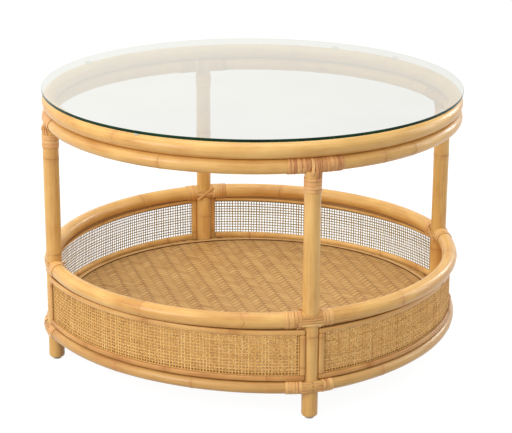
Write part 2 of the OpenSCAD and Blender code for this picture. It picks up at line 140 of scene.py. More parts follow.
def wave(x, seed, terms=4):
    """Smooth wandering value of x, about -1 to 1."""
    rng = np.random.default_rng(seed)
    x = np.asarray(x, float)
    total = np.zeros_like(x)
    for i in range(terms):
        height = rng.uniform(0.5, 1.0) / (1 + 0.5 * i)
        pace = (1.0 + i * 0.83) * rng.uniform(0.8, 1.2)
        total = total + height * np.sin(x * pace + rng.uniform(0, 2 * PI))
    return total / (1.6 + 0.25 * terms)


def grain_at(seed, *axes):
    """Grain coordinates (along, across, depth), shifted at random. seed may be a generator."""
    return xyz(*axes) + np.random.default_rng(seed).uniform(0, 900, 3)


def repeat_ends(rows, first, last):
    return np.concatenate([rows[:1]] * first + [rows] + [rows[-1:]] * last)


def run_length(path):
    """Distance along a path at each of its points."""
    steps = np.linalg.norm(np.diff(path, axis=0), axis=1)
    return np.concatenate([[0], np.cumsum(steps)])


def link_object(name, mesh):
    ob = bpy.data.objects.new(name, mesh)
    bpy.context.scene.collection.objects.link(ob)
    return ob


def add_part(name, mesh, body, node):
    """Link a finished mesh in place of a CAD node."""
    ob = link_object(name, mesh)
    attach(ob, body)
    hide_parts(node)


class PartMesh:
    """Collects closed grids into one mesh, with the point values the materials read."""

    # tint: tone; knot: node ring; near: beside a node, or painted shade (the mat's dives, the back
    # walls' inward faces); edge: -1 to 1 across a strip
    DEFAULTS = {"tint": 0.5, "knot": 0.0, "near": 0.0, "edge": 0.0}

    def __init__(self):
        self.points, self.grain, self.quads, self.tris = [], [], [], []
        self.values = {key: [] for key in self.DEFAULTS}
        self.count = 0

    def grid(self, points, grain, ring=False, **values):
        """Add points[along, around]. Around is closed; along is closed if ring, else capped."""
        rows, cols = points.shape[:2]
        base = self.count
        index = base + np.arange(rows * cols).reshape(rows, cols)
        beside = np.roll(index, -1, axis=1)
        if ring:
            corners = [index, beside, np.roll(beside, -1, 0), np.roll(index, -1, 0)]
        else:
            corners = [index[:-1], beside[:-1], beside[1:], index[1:]]
        quads = np.stack(corners, -1).reshape(-1, 4)
        tris = np.zeros((0, 3), int)
        verts = points.reshape(-1, 3)
        grain = np.broadcast_to(grain, points.shape).reshape(-1, 3)
        flat = {}
        for key, default in self.DEFAULTS.items():
            value = np.asarray(values.get(key, default), float)
            flat[key] = np.broadcast_to(value, (rows, cols)).reshape(-1)
        if not ring:
            verts = np.vstack([verts, points[0].mean(0), points[-1].mean(0)])
            grain = np.vstack([grain, grain[:cols].mean(0), grain[-cols:].mean(0)])
            for key, value in flat.items():
                flat[key] = np.concatenate([value, [value[0], value[-1]]])
            first = np.full(cols, base + rows * cols)
            tris = np.vstack([np.stack([first, beside[0], index[0]], -1),
                              np.stack([first + 1, index[-1], beside[-1]], -1)])
        # faces point outward when the closed grid's volume is positive
        arms = verts - verts.mean(0)
        fan = np.vstack([quads[:, :3], quads[:, [0, 2, 3]], tris]) - base
        crossed = np.cross(arms[fan[:, 1]], arms[fan[:, 2]])
        if (arms[fan[:, 0]] * crossed).sum() < 0:
            quads, tris = quads[:, ::-1], tris[:, ::-1]
        self.points.append(verts)
        self.grain.append(grain)
        self.quads.append(quads)
        self.tris.append(tris)
        for key, value in flat.items():
            self.values[key].append(value)
        self.count += len(verts)

    def build(self, node, suffix, material, sharp=None, smooth=True):
        """Make the object that replaces a CAD node. sharp is the crease angle in degrees."""
        name = f"{node}_{suffix}"
        quads, tris = np.vstack(self.quads), np.vstack(self.tris)
        faces = len(quads) + len(tris)
        mesh = bpy.data.meshes.new(name)
        mesh.vertices.add(self.count)
        points = np.vstack(self.points) * MM
        mesh.vertices.foreach_set("co", points.astype(np.float32).ravel())
        corners = np.concatenate([quads.ravel(), tris.ravel()]).astype(np.int32)
        mesh.loops.add(len(corners))
        mesh.loops.foreach_set("vertex_index", corners)
        mesh.polygons.add(faces)
        starts = [np.arange(len(quads)) * 4, len(quads) * 4 + np.arange(len(tris)) * 3]
        mesh.polygons.foreach_set("loop_start", np.concatenate(starts).astype(np.int32))
        mesh.polygons.foreach_set("material_index", np.zeros(faces, np.int32))
        mesh.polygons.foreach_set("use_smooth", np.full(faces, smooth))
        mesh.update(calc_edges=True)
        mesh.validate()
        # grain is stored in centimetres
        layer = mesh.attributes.new("grain", "FLOAT_VECTOR", "POINT")
        grain = np.vstack(self.grain) * 0.1
        layer.data.foreach_set("vector", grain.astype(np.float32).ravel())
        for key, value in self.values.items():
            layer = mesh.attributes.new(key, "FLOAT", "POINT")
            layer.data.foreach_set("value", np.concatenate(value).astype(np.float32))
        if sharp is not None:
            mesh.set_sharp_from_angle(angle=math.radians(sharp))
        mesh.materials.append(material)
        add_part(name, mesh, "frame", node)


# ------------------------------------------------------------------ shader helpers
def srgb(*channels):
    """Linear colour from 0-255 display values."""
    linear = []
    for value in channels:
        value /= 255.0
        linear.append(value / 12.92 if value <= 0.04045 else ((value + 0.055) / 1.055) ** 2.4)
    return (*linear, 1.0)


class Shader:
    """Builds the node tree of one material or world."""

    def __init__(self, owner, output="OutputMaterial"):
        self.owner = owner
        owner.use_nodes = True
        self.tree = owner.node_tree
        self.tree.nodes.clear()
        self.output = self.node(output)

    def node(self, kind, inputs=None, **props):
        """New node; each input is given a value, or a socket to link from."""
        node = self.tree.nodes.new("ShaderNode" + kind)
        for key, value in props.items():
            setattr(node, key, value)
        for key, value in (inputs or {}).items():
            if isinstance(value, bpy.types.NodeSocket):
                self.tree.links.new(value, node.inputs[key])
            else:
                node.inputs[key].default_value = value
        return node

    def surface(self, socket):
        self.tree.links.new(socket, self.output.inputs["Surface"])
        return self.owner

    def attr(self, name, output="Fac"):
        return self.node("Attribute", attribute_name=name).outputs[output]

    def object_coords(self):
        return self.node("TexCoord").outputs["Object"]

    def facing(self):
        return self.node("LayerWeight", {"Blend": 0.5}).outputs["Facing"]

    def noise(self, vector, scale, detail=3.0, rough=0.5, shift=(0, 0, 0), warp=0.0):
        mapped = self.node("Mapping", {"Vector": vector, "Scale": scale, "Location": shift})
        return self.node("TexNoise", {
            "Vector": mapped.outputs["Vector"], "Scale": 1.0, "Detail": detail,
            "Roughness": rough, "Distortion": warp}).outputs["Fac"]

    def math(self, operation, first, second=0.0, third=None, clamp=False):
        inputs = {0: first, 1: second}
        if third is not None:
            inputs[2] = third
        return self.node("Math", inputs, operation=operation, use_clamp=clamp).outputs[0]

    def scaled(self, value, gain, plus, clamp=False):
        return self.math("MULTIPLY_ADD", value, gain, plus, clamp)

    def sway(self, base, value, gain):
        """base plus gain times value's distance from a half."""
        return self.scaled(self.math("SUBTRACT", value, 0.5), gain, plus=base)

    def blend(self, first, gain, second, second_gain):
        """Weighted sum of two values."""
        return self.scaled(first, gain, plus=self.math("MULTIPLY", second, second_gain))

    def ramp(self, value, places, colours):
        node = self.node("ValToRGB", {"Fac": value})
        stops = node.color_ramp.elements
        while len(stops) < len(places):
            stops.new(0.5)
        for stop, place, colour in zip(stops, places, colours):
            stop.position = place
            stop.color = srgb(*colour)
        return node.outputs["Color"]

    def remap(self, value, span, to, **props):
        return self.node("MapRange", {
            "Value": value, "From Min": span[0], "From Max": span[1],
            "To Min": to[0], "To Max": to[1]}, **props).outputs["Result"]

    def mix(self, factor, first, second):
        """Mix colours: sockets, linear (r, g, b, a) or display (r, g, b)."""
        pair = [srgb(*c) if isinstance(c, tuple) and len(c) == 3 else c for c in (first, second)]
        return self.node("Mix", {0: factor, 6: pair[0], 7: pair[1]}, data_type="RGBA").outputs[2]

    def bump(self, height, strength, distance):
        return self.node("Bump", {
            "Strength": strength, "Distance": distance, "Height": height}).outputs["Normal"]

    def principled(self, colour, rough, normal, more):
        inputs = {"Base Color": colour, "Roughness": rough, "Normal": normal, **more}
        return self.surface(self.node("BsdfPrincipled", inputs).outputs[0])

    def mix_shader(self, factor, first, second):
        return self.node("MixShader", {0: factor, 1: first, 2: second}).outputs[0]


def new_material(name):
    return Shader(bpy.data.materials.new(name))


# ------------------------------------------------------------------ rattan, cane and mat materials
# tones from dark to light, as display colours
HONEY = [(170, 112, 50), (202, 147, 77), (221, 172, 98), (233, 188, 115), (242, 203, 134)]
# painted shade: the base rails' tones are darker than the rims', for the rims' shadow on them
BASE_SHADED_TONES = [(158, 103, 47), (186, 134, 70), (203, 156, 89), (215, 172, 105), (226, 188, 124)]
TRIM_TONES = [(156, 98, 44), (188, 130, 68), (210, 156, 88), (224, 174, 104), (236, 192, 124)]
INNER_TONES = [(166, 108, 50), (206, 150, 80), (228, 180, 106), (240, 196, 124), (246, 210, 142)]
BAND_TONES = [(150, 104, 56), (186, 140, 84), (206, 162, 104), (220, 180, 122), (232, 196, 140)]
# painted shade: the top bindings' tones are darker than the other bindings', for the shade under the
# upper hoop
TOP_PEEL_SHADED_TONES = [(148, 86, 46), (194, 132, 78), (220, 160, 98), (233, 182, 118), (242, 200, 138)]
PEEL_TONES = [(156, 98, 50), (198, 140, 78), (221, 168, 100), (233, 186, 117), (242, 202, 136)]
CANE_TONES = [(170, 116, 54), (210, 158, 86), (230, 180, 104), (242, 198, 124), (250, 215, 148)]
MAT_TONES = [(140, 96, 48), (174, 128, 71), (190, 146, 86), (203, 162, 101), (215, 179, 120)]
SKIN_PLACES = (0.0, 0.25, 0.5, 0.75, 1.0)
WOVEN_PLACES = (0.0, 0.3, 0.5, 0.75, 1.0)
SCUFF, HALO, NODE_RING = (206, 138, 92), (188, 122, 66), (146, 88, 40)


def rattan(name, tones, pink, coat, gloss=0.34, contrast=1.0, seam_shade=0.6,
           seam_shade_colour=(126, 78, 38)):
    """Lacquered rattan skin: lengthwise fibres, cloudy colour, dark node rings, pinkish scuffs."""
    sh = new_material(name)
    grain = sh.attr("grain", "Vector")
    fine = sh.noise(grain, scale=(0.30, 11.0, 11.0), rough=0.6)
    streak = sh.noise(grain, scale=(0.10, 3.2, 3.2), rough=0.55, shift=(3, 1, 7))
    cloud = sh.noise(grain, scale=(0.16, 0.42, 0.42), shift=(11, 5, 2))
    tone = sh.scaled(fine, gain=0.30 * contrast, plus=0.5 - 0.15 * contrast)
    tone = sh.sway(tone, streak, gain=0.50 * contrast)
    tone = sh.sway(tone, cloud, gain=0.72 * contrast)
    tone = sh.sway(tone, sh.attr("tint"), gain=0.55)
    colour = sh.ramp(tone, SKIN_PLACES, tones)
    # scuffs gather near the nodes
    scuff = sh.noise(grain, scale=(0.35, 1.3, 1.3), detail=4.0, rough=0.62, shift=(31, 17, 5))
    near = sh.attr("near")
    scuff = sh.scaled(near, gain=0.10, plus=scuff)
    colour = sh.mix(sh.remap(scuff, span=(0.56, 0.74), to=(0.0, pink)), colour, SCUFF)
    # a patchy halo and a dark ring at each node
    knot = sh.attr("knot")
    halo = sh.noise(grain, scale=(0.8, 1.6, 1.6), rough=0.6, shift=(7, 7, 3))
    halo = sh.remap(halo, span=(0.35, 0.65), to=(0.0, 0.34))
    colour = sh.mix(sh.math("MULTIPLY", near, halo), colour, HALO)
    colour = sh.mix(sh.math("MULTIPLY", knot, 0.42), colour, NODE_RING)
    # painted shade: darker strip edges, for the seams where a strip meets the wall, the rim, the mat or
    # the next turn of peel
    edge = sh.math("ABSOLUTE", sh.attr("edge"))
    edge = sh.remap(edge, span=(0.78, 1.0), to=(0.0, seam_shade))
    colour = sh.mix(edge, colour, seam_shade_colour)
    # rings and edges are rough and hold no lacquer
    bare = sh.math("MAXIMUM", knot, edge, clamp=True)
    height = sh.blend(streak, 0.5, fine, 0.7)
    rough = sh.blend(fine, 0.5, cloud, 0.5)
    rough = sh.remap(rough, span=(0.3, 0.7), to=(gloss - 0.06, gloss + 0.12))
    rough = sh.scaled(bare, gain=0.40, plus=rough, clamp=True)
    coat_weight = sh.scaled(bare, gain=-coat, plus=coat, clamp=True)
    return sh.principled(colour, rough, sh.bump(height, strength=0.28, distance=0.00022), {
        "Coat Weight": coat_weight, "Coat Roughness": 0.2, "IOR": 1.45,
        "Specular IOR Level": 0.42})


def cane_material(name):
    """Matt cane with painted shade on its edges and on the faces marked near."""
    sh = new_material(name)
    grain = sh.attr("grain", "Vector")
    fine = sh.noise(grain, scale=(0.5, 14.0, 14.0), detail=2.0)
    cloud = sh.noise(grain, scale=(0.25, 0.5, 0.5), shift=(4, 9, 1))
    tone = sh.scaled(fine, gain=0.30, plus=0.35)
    tone = sh.sway(tone, cloud, gain=0.8)
    tone = sh.sway(tone, sh.attr("tint"), gain=0.7)
    colour = sh.ramp(tone, WOVEN_PLACES, CANE_TONES)
    # painted shade: strand sides darken to warm brown, the shade in the holes between strands
    edge = sh.math("ABSOLUTE", sh.attr("edge"))
    edge = sh.remap(edge, span=(0.7, 1.0), to=(0.0, 0.5))
    colour = sh.mix(edge, colour, (134, 76, 26))
    # painted shade: faces marked near, the inward faces of the back walls, turn dull olive
    colour = sh.mix(sh.math("MULTIPLY", sh.attr("near"), 0.88), colour, (150, 134, 76))
    rough = sh.remap(fine, span=(0.3, 0.7), to=(0.5 - 0.08, 0.5 + 0.12))
    return sh.principled(colour, rough, sh.bump(fine, strength=0.3, distance=0.0002), {
        "Coat Weight": 0.05, "Coat Roughness": 0.3, "Specular IOR Level": 0.22})


def mat_material(name):
    """Flat mat strips with painted shade at the edges and where they dive under the crossing ones."""
    sh = new_material(name)
    grain = sh.attr("grain", "Vector")
    fine = sh.noise(grain, scale=(0.35, 9.0, 9.0), rough=0.6)
    streak = sh.noise(grain, scale=(0.2, 2.4, 2.4), shift=(3, 2, 8))
    cloud = sh.noise(grain, scale=(0.10, 0.22, 0.22), detail=2.0, shift=(4, 9, 1))
    tone = sh.scaled(fine, gain=0.36, plus=0.32)
    tone = sh.sway(tone, streak, gain=0.4)
    tone = sh.sway(tone, cloud, gain=0.45)
    tone = sh.sway(tone, sh.attr("tint"), gain=0.55)
    colour = sh.ramp(tone, WOVEN_PLACES, MAT_TONES)
    # painted shade in the gaps between strips
    edge = sh.math("ABSOLUTE", sh.attr("edge"))
    edge = sh.remap(edge, span=(0.86, 1.0), to=(0.0, 0.34))
    colour = sh.mix(edge, colour, (138, 90, 44))
    # painted shadow where a strip dives under the crossing ones
    colour = sh.mix(sh.math("MULTIPLY", sh.attr("near"), 0.85), colour, (112, 64, 28))
    height = sh.blend(streak, 0.4, fine, 0.6)
    rough = sh.remap(fine, span=(0.3, 0.7), to=(0.5, 0.7))
    return sh.principled(colour, rough, sh.bump(height, strength=0.35, distance=0.0003), {
        "Coat Weight": 0.04, "Coat Roughness": 0.3, "Specular IOR Level": 0.35})


POLE_SKIN = rattan("rattan_pole_skin", HONEY, pink=0.22, coat=0.2)
RAIL_SKIN = rattan("rattan_rail_skin", HONEY, pink=0.26, coat=0.2)
BASE_SKIN = rattan("rattan_base_rail_skin", BASE_SHADED_TONES, pink=0.26, coat=0.18)
TRIM_SKIN = rattan("rattan_trim_skin", TRIM_TONES, pink=0.25, coat=0.12, gloss=0.4,
                   contrast=1.1, seam_shade=0.75)
INNER_SKIN = rattan("rattan_inner_trim_skin", INNER_TONES, pink=0.3, coat=0.1, gloss=0.42,
                    contrast=1.25, seam_shade=0.8)
BAND_SKIN = rattan("edge_band_skin", BAND_TONES, pink=0.12, coat=0.03, gloss=0.55,
                   contrast=1.3, seam_shade=0.95, seam_shade_colour=(86, 48, 20))
TOP_PEEL_SKIN = rattan("wound_peel_top_skin", TOP_PEEL_SHADED_TONES, pink=0.4, coat=0.15, gloss=0.38,
                       contrast=1.1, seam_shade=0.42)
PEEL_SKIN = rattan("wound_peel_skin", PEEL_TONES, pink=0.3, coat=0.2, gloss=0.36,
                   contrast=1.1, seam_shade=0.42)
CANE = cane_material("woven_cane_strand")
MAT = mat_material("woven_mat_strip")


# ------------------------------------------------------------------ poles
def stations(length, knots, step, closed=False):
    """Distances along a pole: even steps, drawn close together at the knots."""
    places = list(np.linspace(0, length, int(round(length / step)) + 1))
    for knot in knots:
        for offset in (0, 0.35, 0.75, 1.2, 1.8, 2.6, 3.8, 5.5):
            places += [knot + offset, knot - offset]
    places = np.array(places)
    if closed:
        places = np.mod(places, length)
    else:
        places = places[(places >= 0) & (places <= length)]
    places = np.sort(places)
    kept = [places[0]]
    for place in places[1:]:
        if place - kept[-1] > 0.24:
            kept.append(place)
    kept = np.array(kept)
    if closed:
        return kept[kept < length - 0.3]
    kept[-1] = length
    kept[0] = 0
    return kept


def pole(places, around, pole_r, knots, length, seed, closed=False):
    """Skin radius of a rattan pole, its (along, around) grids and its knot and near values."""
    rng = np.random.default_rng(seed)
    along, around = np.meshgrid(places, around, indexing="ij")
    long_turns, short_turns = (3, 7) if closed else (1.1, 2.7)
    slow = long_turns * 2 * PI / length * along
    quick = short_turns * 2 * PI / length * along
    radius = pole_r - 0.16 + 0.12 * np.sin(slow + rng.uniform(0, 6))
    radius = radius + 0.08 * np.sin(quick + rng.uniform(0, 6))
    oval = np.cos(2 * around + rng.uniform(0, 6))
    radius = radius + 0.10 * oval * np.sin(slow + rng.uniform(0, 6))
    ring, near = np.zeros_like(radius), np.zeros_like(radius)
    for knot in knots:
        # each ring leans a little
        offset = along - knot - rng.uniform(0.2, 0.9) * np.cos(around + rng.uniform(0, 6))
        if closed:
            offset = (offset + length / 2) % length - length / 2
        # ridge, its wide foot and the groove in its middle
        radius = (radius + 0.24 * bell(offset, 2.8) + 0.14 * bell(offset, 11)
                  - 0.16 * bell(offset, 0.8))
        strength = 0.70 + 0.30 * np.cos(around * 2 + knot)
        ring = np.maximum(ring, bell(offset, 1.2) * strength)
        near = np.maximum(near, bell(offset, 10))
    return radius, along, around, ring, near


def pole_grain(seed, along, around, pole_r):
    return grain_at(seed, along, pole_r * np.cos(around), pole_r * np.sin(around))


def hoop(node, hoop_r, z, pole_r, knot_degrees, seed):
    length = 2 * PI * hoop_r
    knots = [math.radians(degrees % 360) * hoop_r for degrees in knot_degrees]
    places = stations(length, knots, 7.5, closed=True)
    around = np.linspace(0, 2 * PI, 40, endpoint=False)
    radius, along, around, knot, near = pole(
        places, around, pole_r, knots, length, seed, closed=True)
    angle = along / hoop_r
    points = polar(hoop_r + radius * np.cos(around), angle, z + radius * np.sin(around))
    mesh = PartMesh()
    mesh.grid(points, pole_grain(seed, along, around, pole_r), ring=True,
              tint=0.5 + 0.3 * wave(angle * 2, seed), knot=knot, near=near)
    mesh.build(node, "pole", POLE_SKIN)


hoop("top_hoop_upper", UPPER_R, UPPER_Z, UPPER_POLE,
     knot_degrees=[-143.3, -8, 28, 61, 104, 148, 171], seed=11)
hoop("top_hoop_lower", LOWER_R, LOWER_Z, LOWER_POLE,
     knot_degrees=[-129.6, -69.8, -59.1, 16, 52, 83, 121, 158], seed=12)


# ------------------------------------------------------------------ legs
FOOT_ROUND = 4.8      # rounding of the foot
SEAT_REACH = 26       # height over which the rows bend up to the saddle at the top
LEG_KNOTS = [(148,), (148, 333), (128, 305), (201, 379)]      # heights, by leg


def leg_seat(x, y):
    """Height of the leg top, hollowed to carry the lower hoop."""
    off_line = np.abs(np.hypot(x, y) - LOWER_R)
    hollow = np.sqrt(np.maximum(0, (LOWER_POLE + GAP) ** 2 - off_line * off_line))
    return np.minimum(LEG_TOP, LOWER_Z - hollow)


def leg(k, seed):
    knots = [z - FOOT_Z for z in LEG_KNOTS[k]]
    length = LEG_TOP - FOOT_Z
    ring = np.linspace(0, 2 * PI, 44, endpoint=False)
    places = stations(length, knots, 8.0)
    places = np.unique(np.concatenate([places, [0.35, 1.0, 1.9, 3.0, 4.6]]))
    radius, along, around, knot, near = pole(places, ring, LEG_POLE, knots, length, seed)
    below = np.clip((FOOT_ROUND - along) / FOOT_ROUND, 0, 1)
    radius = radius + 0.12 - FOOT_ROUND * (1 - np.sqrt(1 - below * below))
    x, y = LEG_R + radius * np.cos(around), radius * np.sin(around)
    blend = np.clip((along + FOOT_Z - (LEG_TOP - SEAT_REACH)) / SEAT_REACH, 0, 1)
    rows = [xyz(x, y, FOOT_Z + along + (leg_seat(x, y) - LEG_TOP) * blend)]
    top_rings = (0.75, 0.5, 0.25)
    for fraction in top_rings:
        x = LEG_R + radius[-1] * fraction * np.cos(ring)
        y = radius[-1] * fraction * np.sin(ring)
        rows.append(xyz(x, y, leg_seat(x, y))[None])
    grain = pole_grain(seed, along, around, LEG_POLE)
    grain, knot, near = (repeat_ends(v, 0, len(top_rings)) for v in (grain, knot, near))
    mesh = PartMesh()
    mesh.grid(spin(np.concatenate(rows), LEG_ANGLE[k]), grain, knot=knot, near=near, tint=0.52)
    mesh.build("leg_" + LEGS[k], "pole", POLE_SKIN, sharp=50)


for k in range(4):
    leg(k, seed=21 + k)


# ------------------------------------------------------------------ rails, coped round the legs
KNOT_R = 368.0        # radius that turns a knot's bearing into a distance


def arc_at(bearing, k):
    """Distance along quarter k from its middle for a bearing in degrees."""
    from_middle = (bearing - math.degrees(QUARTER_ANGLE[k]) + 180) % 360 - 180
    return math.radians(from_middle) * KNOT_R


def leg_limit(bow, around, pole_r):
    """Half angle at which each lengthwise line of a rail meets the leg's skin."""
    radius = bow.radius + pole_r * np.cos(around)
    leg_xy = LEG_R * SIN45
    inner, outer = np.zeros_like(radius), np.full_like(radius, bow.half)
    for _ in range(40):
        middle = (inner + outer) / 2
        distance = np.hypot(bow.centre + radius * np.cos(middle) - leg_xy,
                            radius * np.sin(middle) - leg_xy)
        clear = distance > LEG_POLE + LEG_CLEAR
        inner, outer = np.where(clear, middle, inner), np.where(clear, outer, middle)
    return inner


def rail(kind, k, bow, z, pole_r, knots, seed, skin, tint):
    """knots are distances from the rail's middle."""
    ring = np.linspace(0, 2 * PI, 40, endpoint=False)
    length = 2 * bow.half * bow.radius
    knots = [length / 2 + x for x in knots]
    places = stations(length, knots, 7.0)
    radius, along, around, knot, near = pole(places, ring, pole_r, knots, length, seed)

    def end_ring(skin_r, side, fraction):
        """A smaller ring on the coped end face."""
        return polar(bow.radius + skin_r * fraction * np.cos(ring),
                     side * leg_limit(bow, ring, pole_r * fraction),
                     z + skin_r * fraction * np.sin(ring), bow.centre)[None]

    angle = ((places / length) * 2 - 1)[:, None] * leg_limit(bow, ring, pole_r)
    body = polar(bow.radius + radius * np.cos(around), angle,
                 z + radius * np.sin(around), bow.centre)
    fractions = (0.3, 0.65)
    points = np.concatenate([end_ring(radius[0], -1, f) for f in fractions] + [body]
                            + [end_ring(radius[-1], 1, f) for f in fractions[::-1]])
    tint = tint + 0.22 * wave(along / 90.0, seed + 5)
    grain = pole_grain(seed, along, around, pole_r)
    grain, knot, near, tint = (repeat_ends(v, 2, 2) for v in (grain, knot, near, tint))
    mesh = PartMesh()
    mesh.grid(spin(points, QUARTER_ANGLE[k]), grain, knot=knot, near=near, tint=tint)
    mesh.build(f"{kind}_rail_{QUARTERS[k]}", "pole", skin, sharp=50)


RIM_KNOTS = [[arc_at(-61.8, 0), 150], [131], [-145], [arc_at(-135.8, 3), 175]]
BASE_KNOTS = [[arc_at(-67.5, 0), 96], [-60, 160], [-140, 71], [arc_at(-144.8, 3), 85]]
BASE_TINTS = (0.66, 0.42, 0.42, 0.28)
for k in range(4):
    rail("rim", k, RIM, RIM_Z, RIM_POLE, RIM_KNOTS[k], seed=31 + k, skin=RAIL_SKIN, tint=0.42)
for k in range(4):
    rail("base", k, BASE, BASE_Z, BASE_POLE, BASE_KNOTS[k], seed=41 + k, skin=BASE_SKIN,
         tint=BASE_TINTS[k])


# ------------------------------------------------------------------ cane walls: square plain weave
PITCH = 5.5
STEP = PITCH / 4
STRAND_T = 0.52
WEAVE_LIFT = 0.30     # how far a strand swings in and out of the wall line
# strand section: across (of the width), outward (of the thickness)
STRAND_SECTION = np.array([(-0.5, -0.5), (-0.42, 0.5), (0.42, 0.5), (0.5, -0.5)])


def weave_steps(first, low, high):
    """Quarter-pitch steps from low to high that fall on the first crossing."""
    return first + np.arange(-int((first - low) / STEP), int((high - first) / STEP) + 1) * STEP


def cane_panel(k, seed):
    rng = np.random.default_rng(seed)
    mesh = PartMesh()
    is_back = k in (1, 2)
    width, tint_spread = (1.83, 0.10) if is_back else (2.08, 0.16)
    half = (float(leg_limit(WALL, np.zeros(1), 0.0)[0]) - 0.0002) * WALL.radius
    rows = int((WALL_HIGH - WALL_LOW) / PITCH)
    first_z = (WALL_LOW + WALL_HIGH) / 2 - (rows - 1) / 2 * PITCH
    columns = int(2 * half / PITCH)
    first_s = -(columns - 1) / 2 * PITCH

    def strand(along, centre, outward, swell, upright):
        """centre: place across the strand; outward: offset from the wall line."""
        widths = np.clip(width * (1 + 0.10 * rng.normal()) * swell, 1.15, 2.5)
        tint = np.clip(0.5 + tint_spread * rng.normal(), 0, 1)
        side = widths[:, None] * STRAND_SECTION[:, 0]
        across = centre[:, None] + side
        radius = WALL.radius + outward[:, None] + STRAND_T * STRAND_SECTION[:, 1]
        along = along[:, None]
        arc, z = (across, along) if upright else (along, across)
        points = polar(radius, arc / WALL.radius, z, WALL.centre)
        # painted shade: the inward face of the back walls, seen from the front, is marked to be
        # darkened toward olive
        mesh.grid(spin(points, QUARTER_ANGLE[k]), grain_at(rng, along, side, 0.0), tint=tint,
                  edge=STRAND_SECTION[:, 0] * 2, near=(STRAND_SECTION[:, 1] < 0) * is_back)

    along = weave_steps(first_z, WALL_LOW, WALL_HIGH)
    for i in range(columns):
        place = first_s + i * PITCH + rng.normal(0, 0.14)
        outward = WEAVE_LIFT * np.cos(PI * (along - first_z) / PITCH) * (-1) ** i
        centre = (place + 0.28 * wave(along / 22.0, seed * 991 + i, terms=3)
                  + 0.22 * wave(along / 30.0 + place / 60.0, seed + 3, terms=2))
        swell = 1 + 0.06 * wave(along / 15.0, seed * 77 + i, terms=2)
        strand(along, centre, outward, swell, upright=True)
    along = weave_steps(first_s, -half, half)
    for i in range(rows):
        place = first_z + i * PITCH + rng.normal(0, 0.14)
        outward = -WEAVE_LIFT * np.cos(PI * (along - first_s) / PITCH) * (-1) ** i
        centre = (place + 0.32 * wave(along / 45.0, seed * 613 + i, terms=3)
                  + 0.3 * wave(along / 70.0, seed + 9, terms=2))
        swell = 1 + 0.08 * wave(along / 30.0, seed * 55 + i, terms=3)
        strand(along, centre, outward, swell, upright=False)
    mesh.build("cane_panel_" + QUARTERS[k], "weave", CANE, smooth=False)


for k in range(4):
    cane_panel(k, seed=51 + k)


# ------------------------------------------------------------------ trims on both faces of the walls
TRIM_W, TRIM_T = 9.5, 3.8
TRIM_OFF = 0.65       # trim backs stand this far off the wall line
TRIM_TAPER = 3.0      # length of the rounded ends
OUTER_END = 11.6      # the outer strips stop this far short of the wall line's ends
OUTER_SIDE, OUTER_POST_W = 20.5, 9.4
INNER_SIDE = 25.5
INNER_POST_W = INNER_SIDE - 13.0
INNER_LOW = WALL_LOW + 0.02
WALL_END = WALL.half * WALL.radius

# section points: inward from the strip's back, up from WALL_HIGH; the last six bed on the rim pole
BEDDED = 6
CORNER_SECTION = np.array(
    [(0.05, -6.4), (3.0, -6.9), (5.5, -6.4), (7.1, -5.0), (7.9, -2.8), (8.0, 0.2)]
    + [(x, 2.0) for x in np.linspace(8.0, 0.7, BEDDED)]) + [0, WALL_HIGH]
# section points: inward, up from INNER_LOW
FOOT_SECTION = np.array([
    (0.05, 0.0), (2.3, 0.0), (2.4, 2.4), (2.9, 4.4), (3.9, 5.9), (4.4, 8.2), (4.45, 10.2),
    (4.1, 12.8), (3.0, 14.8), (1.4, 15.98), (0.05, 16.08)]) + [0, INNER_LOW]


def crown_section(width, thick, count=9):
    """Rounded strip section (outward, across) from the flat back round the crown."""
    angle = np.linspace(-PI / 2, PI / 2, count)
    sin = np.sin(angle)
    return np.stack([thick * np.abs(np.cos(angle)) ** 0.6,
                     width / 2 * np.sign(sin) * np.abs(sin) ** 0.8], -1)


def seam_edges(count):
    """Edge values round a strip section: painted shade where it meets the wall."""
    edges = np.zeros(count)
    edges[[0, -1]] = 1.0
    edges[[1, -2]] = 0.86
    return edges


def knot_marks(along, knots, ridge_w, groove, ring_w, near_w):
    """Height, ring value and near value of the knots along a strip."""
    height, ring, near = np.zeros((3, len(along)))
    for knot in knots:
        offset = along - knot
        height += 0.30 * bell(offset, ridge_w) - groove * bell(offset, 0.5)
        ring = np.maximum(ring, bell(offset, ring_w))
        near = np.maximum(near, bell(offset, near_w))
    return height, ring, near


